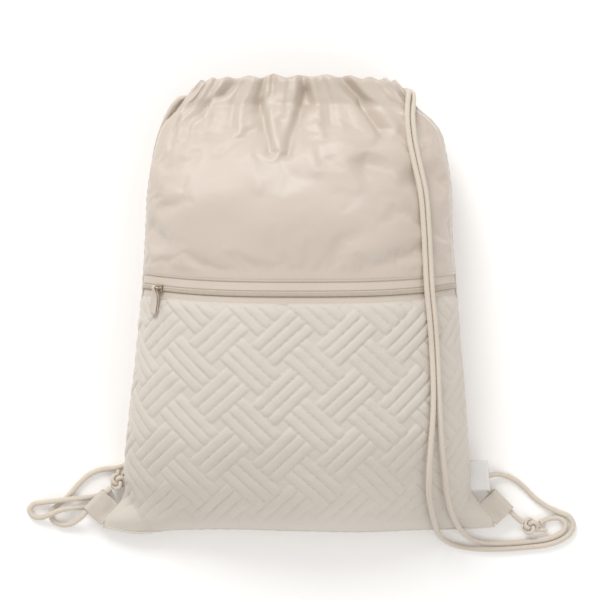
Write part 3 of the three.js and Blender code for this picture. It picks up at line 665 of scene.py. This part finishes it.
def settle(piece, held, loose, growth, pressure, frames, cap):
    data = piece.data
    before = [vertex.co.copy() for vertex in data.vertices]
    for name, share in (("held", held), ("tight", loose)):
        group = piece.vertex_groups.new(name=name)
        for vertex in data.vertices:
            group.add([vertex.index], share(vertex.co / MM), "REPLACE")
    modifier = piece.modifiers.new("cloth", "CLOTH")
    cloth = modifier.settings
    cloth.quality = 6
    cloth.mass = 0.12
    cloth.tension_stiffness = STIFFNESS
    cloth.compression_stiffness = STIFFNESS
    cloth.shear_stiffness = STIFFNESS * 0.4
    cloth.bending_stiffness = 0.02
    cloth.vertex_group_mass = "held"
    cloth.use_pressure = True
    cloth.uniform_pressure_force = pressure
    cloth.vertex_group_shrink = "tight"
    cloth.shrink_min = -growth[0]
    cloth.shrink_max = -growth[1]
    cloth.effector_weights.gravity = 0
    modifier.point_cache.frame_start = 1
    modifier.point_cache.frame_end = frames
    scene = bpy.context.scene
    for number in range(1, frames + 1):
        scene.frame_set(number)
    settled = piece.evaluated_get(bpy.context.evaluated_depsgraph_get()).to_mesh()
    after = [vertex.co.copy() for vertex in settled.vertices]
    piece.modifiers.remove(modifier)
    scene.frame_set(1)
    furthest = 0.0
    for vertex, start, end in zip(data.vertices, before, after):
        move = end - start
        if move.length > cap * MM:
            move *= cap * MM / move.length
        vertex.co = start + move
        furthest = max(furthest, move.length)
    piece.vertex_groups.clear()
    print(piece.name, "settled, furthest move", round(furthest / MM, 1), "mm")


# %% [markdown]
# The casing is a tunnel for the cords, turned over at the top edge. It leans in towards its ends,
# and where a fold runs into it the whole tunnel is pushed in.

# %% Shape of the casings
CASING_HEIGHT = 26
CASING_THICKNESS = 9
CASING_TAPER = 0.17
CASING_SPAN = 0.95


def casing_fold(across, up):
    along = 1 + (GAP + up * CASING_HEIGHT) / BODY_LENGTH
    return all_folds(across, along) * smoothstep((1 - abs(across)) * 5)


def casing_point(side, across, up, out):
    point, _ = skin(across, 1, side)
    seam = SEAM_HEIGHT * section("seam", 1.0)
    clear = CASING_THICKNESS / 2 + GAP
    centre = math.hypot(point.z - seam, clear)
    ruffle = pleat(across, 1) * smoothstep((centre - clear) / 3)
    wavy = 1 + 0.05 * math.cos(math.pi * PLEATS * across)
    tall = CASING_HEIGHT * wavy * (1 - 0.1 * across ** 8)
    pushed_in = min(0.0, casing_fold(across, up) + 1.5) if side > 0 else 0.0
    return Vector((
        point.x * (1 - CASING_TAPER * up),
        point.y + GAP + up * tall,
        seam + side * (centre + ruffle + pushed_in) + out * CASING_THICKNESS / 2,
    ))


# %% [markdown]
# The satin front is one sheet from its stitched lower edge to the top, where it runs on over the
# front casing and turns in. It is a grid with a point every 2 mm or so, lifted by the pleats and
# folds. It settles as cloth, is subdivided once and is then given its thickness.

# %% Satin front
SATIN_WALL = 0.9
SATIN_OVER_CASING = 0.98
FILLET = 2.4
FILLET_WIDTH = 8
SATIN_LENGTH = BODY_LENGTH + SATIN_OVER_CASING * CASING_HEIGHT - SATIN_FROM


def round_top(up):
    """How far the casing stands out at a share of its height: it is rounded at the top"""
    return math.sqrt(max(0.0, 1 - max(0.0, (up - 0.82) / 0.18) ** 2))


def satin_place(u, v):
    across, run = 2 * u - 1, SATIN_FROM + v * SATIN_LENGTH
    along = min(1.0, run / BODY_LENGTH)
    point, outward = skin(across, along)
    point = point + outward * satin_lift(across, along)
    fillet = FILLET * math.exp(-((run - BODY_LENGTH) / FILLET_WIDTH) ** 2)
    rise = CASING_THICKNESS / 2 * smoothstep((along - 0.93) / 0.07) + fillet
    point.z += rise * smoothstep((1 - abs(across)) * 5)
    if run <= BODY_LENGTH:
        return point
    up = (run - BODY_LENGTH) / CASING_HEIGHT
    drawn_in = across * blend(1, CASING_SPAN + 0.01, smoothstep(up / 0.2))
    over = casing_point(1, drawn_in, up, round_top(up))
    over.z += max(casing_fold(drawn_in, up), -1.5) + 0.5 + fillet * smoothstep((1 - abs(across)) * 5)
    on = Vector((point.x * (1 - CASING_TAPER * up), over.y, point.z))
    return on.lerp(over, smoothstep(up / 0.35))


satin = cloth_grid("satin_front", 150, 72, satin_place, (390, SATIN_LENGTH), SATIN)


def sewn_border(point):
    from_top = BOTTOM_SEAM_Y + BODY_LENGTH - point.y
    from_zip = point.y - (BOTTOM_SEAM_Y + SATIN_FROM)
    from_side = point.z - SEAM_HEIGHT
    free = smoothstep((from_top + 6) / 24) * smoothstep((from_zip - 4) / 12)
    return 1 - free * smoothstep((from_side - 1) / 16)


def below_gathers(point):
    return smoothstep((point.y - 60) / 110)


settle(satin, sewn_border, below_gathers, growth=(0.015, 0.13), pressure=0.8, frames=24, cap=9)
finer = satin.modifiers.new("finer", "SUBSURF")
finer.levels = finer.render_levels = 1
thicken(satin, SATIN_WALL)
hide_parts("front_satin_panel")
print("satin", len(satin.data.vertices), "points")

# %% [markdown]
# The pocket is three layers stitched together: cloth, wadding and backing. The stitch lines hold
# the layers down and the wadding puffs up between them. The pattern is a basket weave at 45
# degrees: strips of three ribs go over and under strips of three ribs that cross them.

# %% Quilted pocket
RIBS = 3
STRIP = RIBS + 1
HALF_RIB_ACROSS = 7.16
HALF_RIB_UP = 6.62
PATTERN_ACROSS = 2.14
PATTERN_UP = -0.2
QUILT_RELIEF = 1.9
QUILT_FADE = 26
QUILT_EDGE = 1.4
# soft valleys between the stuffed body and its two flat lower corners, as in the table of folds
CORNER_FOLDS = [
    (-1.12, 0.085, -0.96, -0.01, 0.9, -0.9),
    (1.09, 0.085, 0.98, -0.01, 0.9, -0.8),
    (-0.9, 0.05, -0.82, -0.01, 0.8, 0.25),
]
CORNERS_TO = 0.16
QUILT_WALL = 3.2
ARC_STEPS = 96


@functools.lru_cache(maxsize=None)
def arc_table(along):
    points = [skin(2 * k / ARC_STEPS - 1, along)[0] for k in range(ARC_STEPS + 1)]
    runs = [0.0]
    for a, b in zip(points, points[1:]):
        runs.append(runs[-1] + (b - a).length)
    return [run - runs[ARC_STEPS // 2] for run in runs]


def arc(across, along):
    """Millimetres of cloth from the middle of the bag, along the curved front"""
    place = (across + 1) / 2 * ARC_STEPS
    k = min(ARC_STEPS - 1, int(place))
    table = arc_table(along)
    return blend(table[k], table[k + 1], place - k)


def puff(share):
    return max(0.0, 1 - abs(2 * share - 1) ** 2.6) ** 0.6


def rib(across_strip, along_strip, over):
    """One rib: round across, and closed by a stitch line at both ends"""
    start, end = over
    near = min(1.0, max(0.0, min(along_strip - start, end - along_strip)) / 0.6)
    return puff(across_strip % 1) * math.sqrt(max(0.0, 1 - (1 - near) ** 2))


def over_strip(strip, inside, next_too):
    """Where the rib that passes here starts and ends, counted in ribs"""
    first = STRIP * (strip + 1 if inside >= RIBS and next_too else strip)
    return first - 1, first + STRIP


def quilt_lift(column, row):
    p, q = (column + row) / 2, (row - column) / 2
    p_strip, q_strip = math.floor(p / STRIP), math.floor(q / STRIP)
    p_in, q_in = p - STRIP * p_strip, q - STRIP * q_strip
    if p_in >= RIBS and q_in >= RIBS:
        return 0.25 * puff(p_in - RIBS) * puff(q_in - RIBS)
    even = (p_strip + q_strip) % 2 == 0
    p_on_top = even if p_in < RIBS and q_in < RIBS else q_in < RIBS
    if p_on_top:
        return rib(q, p, over_strip(p_strip, p_in, not even))
    return rib(p, q, over_strip(q_strip, q_in, even))


def quilt_place(u, v):
    across, along = 2 * u - 1, v * QUILT_TO / BODY_LENGTH
    point, outward = skin(across, along)
    fade = smoothstep(v * QUILT_TO / QUILT_FADE) * smoothstep((1 - abs(across)) * 14)
    fade *= 1 - 0.45 * smoothstep((across - 0.55) * 4)
    edge = QUILT_EDGE * (1 - smoothstep((1 - v) * QUILT_TO / 9))
    rim = smoothstep((1 - v) * QUILT_TO / 4)
    drift = 0.22 * noise.noise(point * 0.012)
    column = arc(across, along) / HALF_RIB_ACROSS + PATTERN_ACROSS + drift
    row = v * QUILT_TO / HALF_RIB_UP + PATTERN_UP
    row += 0.2 * noise.noise(point * 0.012 + Vector((7, 0, 0)))
    lift = quilt_lift(column, row) * QUILT_RELIEF * fade * rim - edge
    lift *= 1 + 0.25 * noise.noise(point * 0.05)
    uneven = 0.9 * noise.noise(point * 0.025) + 0.35 * noise.noise(point * 0.11)
    if along < CORNERS_TO:
        from_seams = smoothstep(along * 40 + 0.4) * smoothstep((1 - abs(across)) * 9)
        lift += folds(across, along, CORNER_FOLDS) * from_seams
    return point + outward * (lift + uneven * fade)


quilt = cloth_grid(
    "quilted_pocket", 380, 236, quilt_place, (420, QUILT_TO), QUILT, wall=QUILT_WALL,
)
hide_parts("quilted_pocket_panel")
print("quilted pocket", len(quilt.data.vertices), "points")

# %% [markdown]
# The back is one plain sheet of the same satin, flat where the stuffed bag lies on it.

# %% Satin back
BACK_WALL = 0.9


def back_place(u, v):
    across, along = 1 - 2 * u, v
    point, outward = skin(across, along, -1)
    free = smoothstep(point.z / 14)
    return point - outward * (0.6 * free * noise.noise(point * 0.05)) + Vector((0, 0, 0.1 * (1 - free)))


back = cloth_grid(
    "satin_back", 110, 150, back_place, (390, BODY_LENGTH), SATIN, wall=BACK_WALL,
)
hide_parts("back_panel")
print("back", len(back.data.vertices), "points")

# %% [markdown]
# Each casing is a strip of cloth, rolled into a flat loop and gathered by the cords. The front one
# is the lining under the satin that runs over it, the back one shows. Between them is the mouth.

# %% Casings
def casing_place(side):
    def place(u, v):
        across = blend(-CASING_SPAN, CASING_SPAN, u)
        face = 2 * v if v < 0.5 else 2 - 2 * v
        up = smoothstep(face) ** 0.9
        out = round_top(up) * smoothstep(up / 0.4)
        if v >= 0.5:
            out = -0.15 - 0.85 * smoothstep(up / 0.2) * round_top(up)
        point = casing_point(side, across, up, out * side)
        if side > 0 and v < 0.5:
            point.z += max(casing_fold(across, up), -1.5)
        elif v < 0.5:
            point.z -= 1.2 * noise.noise(Vector((across * 14, 4.0, up))) * smoothstep(up / 0.5)
        point.y += 1.6 * up * noise.noise(Vector((across * 9, side * 3.0, 0.5)))
        return point
    return place


for name, side in (("casing_front", 1), ("casing_back", -1)):
    ruffle = cloth_grid(
        f"ruffled_{name}", 300, 44, casing_place(side), (640, 60), SATIN,
        closed=True, wall=0.7,
    )
    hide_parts(name)
    print(ruffle.name, len(ruffle.data.vertices), "points")

# %% [markdown]
# Inside the tunnels each cord goes through the front one, turns at the far end and comes back
# through the rear one. Only the turn shows, at the open ends of the tunnels.

# %% Cords in the casing
CORD_LANES = {"right": 0.66, "left": 0.36}
LANE_STEPS = 140
SHORT_OF_END = 0.17
for side, start in (("right", 1), ("left", -1)):
    lane = CORD_LANES[side]
    stops = [start * CASING_SPAN * (1 - (2 - SHORT_OF_END) * k / LANE_STEPS) for k in range(LANE_STEPS + 1)]
    front = [casing_point(1, across, lane, -0.25) for across in stops]
    rear = [casing_point(-1, across, lane, 0) for across in reversed(stops)]
    out = Vector((-start * CORD, 0, 0))
    bend = [front[-1] + out * 0.35, (front[-1] + rear[0]) / 2 + out * 0.7, rear[0] + out * 0.35]
    points = route_points(front + bend + rear, 1.5)

    def pressed(run, total):
        near = min(run, total - run, abs(run - total / 2))
        return blend(1.0, 0.6, smoothstep((near - 12) / 12))

    name = f"cord_{side}_in_casing"
    tube = braided_tube(
        f"braid_{name}", points, CORD * 0.85, CORD_BRAID, around=12, pressed=pressed,
    )
    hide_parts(name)
    print(tube.name, round(length_of(points)), "mm")

# %% [markdown]
# The zip is a woven tape on each side of a nylon coil. Closed, the coil is a row of small loops
# that meet in the middle, a tooth every 1.6 mm from alternate sides.

# %% Zip tapes and coil
TOOTH = 1.6
ZIP_ENDS = 0.998
TAPE_SLOPE = 0.7
TAPE_INSET = 0.5
COIL_INSET = 0.3
# tape, its two edges, how deep its lower edge lies; it sinks further towards its upper edge
TAPES = [
    ("zip_tape_upper", COIL_TO, SATIN_FROM + 2, 0.0),
    ("zip_tape_lower", QUILT_TO - 2, COIL_FROM, 0.6),
]


def strip_place(low, high, inset, relief):
    def place(u, v):
        across, along = blend(-ZIP_ENDS, ZIP_ENDS, u), blend(low, high, v)
        point, outward = skin(across, along / BODY_LENGTH)
        return point + outward * (relief(point.x, v) - inset)
    return place


def coil_relief(x, v):
    centre = 1 - abs(2 * v - 1) ** 3
    half = 0.5 if v > 0.5 else 0.0
    loop = 0.5 + 0.5 * math.cos(2 * math.pi * (x / TOOTH + half))
    seam = 1 - 0.6 * math.exp(-((v - 0.5) / 0.08) ** 2)
    return (0.5 + 0.7 * loop * seam) * centre - 0.4


for name, low, high, depth in TAPES:
    place = strip_place(low, high, TAPE_INSET, lambda x, v: -depth - TAPE_SLOPE * v)
    tape = cloth_grid(
        f"woven_{name}", 150, 8, place, (320, high - low), ZIP_TAPE, wall=0.8,
    )
    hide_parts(name)
coil = cloth_grid(
    "nylon_coil", 1150, 10, strip_place(COIL_FROM, COIL_TO, COIL_INSET, coil_relief),
    (320, COIL_WIDTH), NYLON_WITH_PAINTED_SHADE, wall=1.2,
)
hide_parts("zip_coil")
print("coil", len(coil.data.vertices), "points")

# %% [markdown]
# The slider is one casting: an upper and a lower plate joined by a post, with a small bail on top.
# A plate starts as a disc whose rim is moved to the waisted outline, and is raised and bevelled.

# %% Zip slider
SLIDER_PLACE = -0.69
SLIDER_LIFT = 0.3
SLIDER_HEIGHT = 2.4
SLIDER_LENGTH = 11
SLIDER_WIDTH = 8
BAIL_HEIGHT = 3.6
BAIL_WIRE = 1.5
UPPER_PLATE_FROM = 1.4
LOWER_PLATE = (-0.3, 0.7)


def frame_on(across, along):
    point, _ = skin(across, along / BODY_LENGTH)
    right = (skin(across + 0.01, along / BODY_LENGTH)[0] - point).normalized()
    up = (skin(across, along / BODY_LENGTH + 0.01)[0] - point).normalized()
    out = right.cross(up).normalized()
    up = out.cross(right)
    return Matrix.Translation(point) @ Matrix((right, up, out)).transposed().to_4x4()


def finish_piece(mesh, name, matrix, material, smooth=True):
    bmesh.ops.recalc_face_normals(mesh, faces=mesh.faces)
    for vertex in mesh.verts:
        vertex.co = (matrix @ vertex.co) * MM
    for face in mesh.faces:
        face.smooth = smooth
    return to_piece(mesh, name, material)


def slider_plate(mesh, low, high, widen):
    disc = bmesh.ops.create_circle(mesh, cap_ends=True, segments=28, radius=1)["verts"]
    for vertex in disc:
        x, y = vertex.co.x, vertex.co.y
        waist = 0.78 + 0.22 * abs(x) ** 2 + (0.1 if x > 0 else 0.0)
        vertex.co = Vector((
            math.copysign(abs(x) ** 0.6, x) * SLIDER_LENGTH / 2 * widen,
            math.copysign(abs(y) ** 0.45, y) * SLIDER_WIDTH / 2 * waist * widen,
            low,
        ))
    face = next(face for face in mesh.faces if all(vertex in disc for vertex in face.verts))
    raised = bmesh.ops.extrude_face_region(mesh, geom=[face])["geom"]
    top = [item for item in raised if isinstance(item, bmesh.types.BMVert)]
    bmesh.ops.translate(mesh, verts=top, vec=(0, 0, high - low))
    return [edge for edge in mesh.edges if all(vertex in top for vertex in edge.verts)]


place_of_slider = frame_on(SLIDER_PLACE, ZIP_LINE)
mesh = bmesh.new()
rims = slider_plate(mesh, SLIDER_LIFT + UPPER_PLATE_FROM, SLIDER_LIFT + SLIDER_HEIGHT, 1.0)
bmesh.ops.bevel(mesh, geom=rims, offset=0.45, segments=3, profile=0.5, affect="EDGES", material=-1)
slider_plate(mesh, SLIDER_LIFT + LOWER_PLATE[0], SLIDER_LIFT + LOWER_PLATE[1], 0.96)
bmesh.ops.create_cone(
    mesh, cap_ends=True, segments=20, radius1=1.9, radius2=1.9, depth=2.2,
    matrix=Matrix.Translation((2.2, 0, SLIDER_LIFT + 1.0)),
)
slider = finish_piece(mesh, "cast_slider", place_of_slider, METAL, smooth=False)
reach = SLIDER_LENGTH * 0.34
low = SLIDER_LIFT + SLIDER_HEIGHT * 0.6
high = SLIDER_LIFT + SLIDER_HEIGHT + BAIL_HEIGHT
arch = [
    (-reach, 0, low), (-reach, 0, high - 1.4), (-reach * 0.55, 0, high),
    (reach * 0.55, 0, high), (reach, 0, high - 1.4), (reach, 0, low),
]
arch_points = route_points([place_of_slider @ Vector(point) for point in arch], 0.35)
bail = braided_tube("bail", arch_points, BAIL_WIRE, METAL, around=12, relief=0.0)
slider = join("cast_slider", [slider, bail])
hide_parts("zip_slider")
print("slider", len(slider.data.polygons), "faces")

# %% [markdown]
# The pull is a soft tape, folded through the bail and stitched to itself. It is a narrow grid that
# follows the side view of that loop: out along the lower layer, round the bar and back.

# %% Zip pull
PULL_LENGTH = 23
PULL_WIDTH = 7
PULL_NECK = 3.4
eye = high
PULL_PATH = [
    (-PULL_LENGTH - 1.0, 3.4), (-PULL_LENGTH, 2.9), (-16, 2.9), (-9, 3.3), (-4, 4.2), (-1.6, eye - 1.3),
    (0.1, eye - 1.45), (1.5, eye), (0.1, eye + 1.45), (-1.6, eye + 0.9), (-4, eye - 0.1), (-9, 5.0),
    (-16, 4.5), (-PULL_LENGTH, 4.3), (-PULL_LENGTH - 1.0, 3.8),
]
pull_line = route_points([(0, y, z) for y, z in PULL_PATH], 0.8)


def pull_place(u, v):
    spot = pull_line[round(u * (len(pull_line) - 1))]
    width = blend(PULL_NECK, PULL_WIDTH, smoothstep((-spot.y - 1) / 7))
    wave = 0.25 * math.sin(spot.y * 0.35) * (2 * v - 1)
    return place_of_slider @ Vector(((v - 0.5) * -width, spot.y, spot.z + wave))


pull = cloth_grid(
    "tape_pull", len(pull_line) - 1, 8, pull_place, (54, PULL_WIDTH), ZIP_TAPE, wall=0.6,
)
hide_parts("zip_pull")

# %% [markdown]
# Each corner tab is a strip of 25 mm webbing folded round the cord and sewn into the corner. Seen
# from its end it is a drop: narrow at the seam and round at the fold.

# %% Corner tabs
TAB_WIDTH = 25
TAB_LENGTH = 20
TAB_HEIGHT = 11.3
TAB_GAP = 0.9
TAB_ALONG = 0.03
TAB_ROUND = 4.5
tab_round_x = TAB_LENGTH - TAB_ROUND
TAB_PATH = [(-3.0, -1.1), (0.0, -1.2), (4.0, -1.7), (9.0, -3.2)]
TAB_PATH += [
    (tab_round_x + TAB_ROUND * math.cos(math.radians(a)), TAB_ROUND * math.sin(math.radians(a)))
    for a in range(-105, 106, 15)
]
TAB_PATH += [(9.0, 3.2), (4.0, 1.7), (0.0, 1.2), (-3.0, 1.1)]
tab_line = route_points([(x, 0, z) for x, z in TAB_PATH], 0.9)
tab_frames = {}
for name, across in (("corner_tab_right", 1), ("corner_tab_left", -1)):
    corner, _ = skin(across, TAB_ALONG)
    out = Vector((across * math.sqrt(0.5), math.sqrt(0.5), 0))
    start = Vector((corner.x, corner.y, TAB_HEIGHT)) + out * TAB_GAP
    matrix = Matrix.Translation(start) @ Matrix.Rotation(math.atan2(out.y, out.x), 4, "Z")
    tab_frames[name] = matrix

    def tab_place(u, v):
        spot = tab_line[round(u * (len(tab_line) - 1))]
        edge = (v - 0.5) * TAB_WIDTH * (1 - 0.03 * smoothstep((spot.x - 8) / 8))
        wave = 0.35 * math.sin(v * 7) * smoothstep((9 - spot.x) / 9)
        return matrix @ Vector((spot.x, -edge, spot.z + wave))

    tab = cloth_grid(
        f"webbing_{name}", len(tab_line) - 1, 26, tab_place, (62, TAB_WIDTH), WEBBING,
        wall=1.0,
    )
    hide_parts(name)

# %% [markdown]
# The label is a short satin ribbon, folded over and caught in the right side seam. It is bare.

# %% Side label
LABEL_REACH = 17
LABEL_HEIGHT = 27
LABEL_FROM = 33
LABEL_LIFT = 6


def label_place(u, v):
    along = (LABEL_FROM + v * LABEL_HEIGHT) / BODY_LENGTH
    point, _ = skin(1, along)
    reach = 1 - abs(2 * u - 1)
    layer = math.copysign(min(1.0, (1 - reach) * 9 + 0.15), u - 0.5)
    curl = 1.0 * math.sin(v * 3.0) * reach ** 2
    return Vector((
        point.x - 1.5 + reach * (LABEL_REACH + 1.5),
        point.y + 0.5 * math.sin(reach * 2),
        point.z + LABEL_LIFT * reach ** 1.3 + layer * 0.55 + curl,
    ))


label = cloth_grid(
    "ribbon_label", 48, 20, label_place, (2 * LABEL_REACH, LABEL_HEIGHT), RIBBON,
    wall=0.3,
)
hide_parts("side_label")

# %% [markdown]
# The sides and the bottom are closed by a plain seam, whose turned edges make a narrow soft ridge.
# A thin tube of cloth runs along it, with the small puckers that the thread pulls in: satin at the
# sides, the cloth of the pocket at the bottom.

# %% Seams
SEAM = 2.6
BOTTOM_SEAM = 2.0
SEAM_STEPS = 260


def seam_line(name, points, material, diameter):
    frames = rings(points)

    def place(u, v):
        i = round(u * (len(points) - 1))
        angle = 2 * math.pi * v
        side, up = frames[i]
        radius = diameter / 2 * (1 + 0.12 * math.sin(i * 1.1) + 0.2 * noise.noise(points[i] * 0.2))
        return points[i] + (side * math.cos(angle) + up * math.sin(angle)) * radius

    cloth_grid(name, len(points) - 1, 8, place, (length_of(points), 8), material, closed=True)


for name, across in (("seam_right", 1), ("seam_left", -1)):
    points = []
    for k in range(SEAM_STEPS + 1):
        point, _ = skin(across, k / SEAM_STEPS)
        points.append(Vector((point.x - across * 0.7, point.y, point.z - 0.25)))
    seam_line(name, points, SATIN, SEAM)
bottom = []
for k in range(SEAM_STEPS + 1):
    across = blend(-1, 1, k / SEAM_STEPS)
    point, _ = skin(across, 0)
    low_point, _ = skin(across, 0, -1)
    bottom.append(Vector((point.x, point.y + 0.5, (point.z + low_point.z) / 2)))
seam_line("seam_bottom", bottom, QUILT, BOTTOM_SEAM)

# %% [markdown]
# A seam that shows is held by lock stitches, about 3 mm each. Every stitch is a small grain of
# thread that dips into the cloth at both ends, so a row of them is many squashed balls.

# %% Stitches
STITCH = 2.4
STITCH_PITCH = 3.2
STITCH_WIDTH = 0.55
# place along a tab and height of the webbing there
TAB_STITCHES = [(3.0, 1.75), (6.0, 2.3)]


def stitch_row(name, path):
    """path is a list of (point, outward) along the row"""
    mesh = bmesh.new()
    run, wanted, count = 0.0, STITCH_PITCH / 2, 0
    for (a, out), (b, _) in zip(path, path[1:]):
        step = (b - a).length
        if run + step >= wanted:
            forward = (b - a).normalized()
            aside = out.cross(forward).normalized()
            up = forward.cross(aside)
            turn = Matrix((forward, aside, up)).transposed().to_4x4()
            middle = a + (b - a) * ((wanted - run) / step)
            size = Matrix.Diagonal((STITCH / 2, STITCH_WIDTH / 2, STITCH_WIDTH / 2, 1))
            bmesh.ops.create_uvsphere(
                mesh, u_segments=6, v_segments=5, radius=1,
                matrix=Matrix.Translation(middle + up * 0.12) @ turn @ size,
            )
            wanted += STITCH_PITCH
            count += 1
        run += step
    finish_piece(mesh, name, Matrix.Identity(4), THREAD)
    print(name, count, "stitches")


def row_on_front(along, lift, span=0.985, count=400):
    path = []
    for k in range(count + 1):
        across = blend(-span, span, k / count)
        point, outward = skin(across, along / BODY_LENGTH)
        path.append((point + outward * lift(across, along / BODY_LENGTH), outward))
    return path


stitch_row("stitches_satin_hem", row_on_front(SATIN_FROM + 3, satin_lift))
stitch_row("stitches_pocket_hem", row_on_front(QUILT_TO - 2.2, lambda a, b: -1.35))
for name, matrix in tab_frames.items():
    for x, z in TAB_STITCHES:
        across_tab = [TAB_WIDTH * (0.46 - 0.92 * k / 30) for k in range(31)]
        path = [(matrix @ Vector((x, y, z)), Vector((0, 0, 1))) for y in across_tab]
        stitch_row(f"stitches_{name}_{int(x)}", path)

# %% [markdown]
# The floor is a plain pale sweep, and the light is a broad soft box from the upper left with a
# weak fill, as in a product studio.

# %% Floor and light
FLOOR_GLOW = 0.09
SKY = 0.72
bpy.ops.mesh.primitive_plane_add(size=8, location=(0, 0, -0.0004))
floor = bpy.context.object
floor.name = "floor"
paper, tree, shader = surface_of("paper_floor", {"Base Color": colour("#f7f6f5"), "Roughness": 0.9})
shader.inputs["Emission Color"].default_value = colour("#ffffff")
shader.inputs["Emission Strength"].default_value = FLOOR_GLOW
floor.data.materials.append(paper)

LIGHTS = [
    # name, place, width, power, aim
    ("key", (-1.4, 3.3, 2.6), 2.2, 112, (0, 0.05, 0)),
    ("fill", (1.6, -2.0, 2.6), 2.4, 24, (0, 0, 0)),
]
for name, place, width, power, aim in LIGHTS:
    lamp = bpy.data.lights.new(name, "AREA")
    lamp.shape = "DISK"
    lamp.size = width
    lamp.energy = power
    light = bpy.data.objects.new(name, lamp)
    light.location = place
    light.rotation_euler = (Vector(aim) - Vector(place)).to_track_quat("-Z", "Y").to_euler()
    bpy.context.scene.collection.objects.link(light)
world = bpy.data.worlds.new("studio")
world.use_nodes = True
background = world.node_tree.nodes["Background"]
background.inputs["Color"].default_value = colour("#fbfaf8")
background.inputs["Strength"].default_value = SKY
bpy.context.scene.world = world
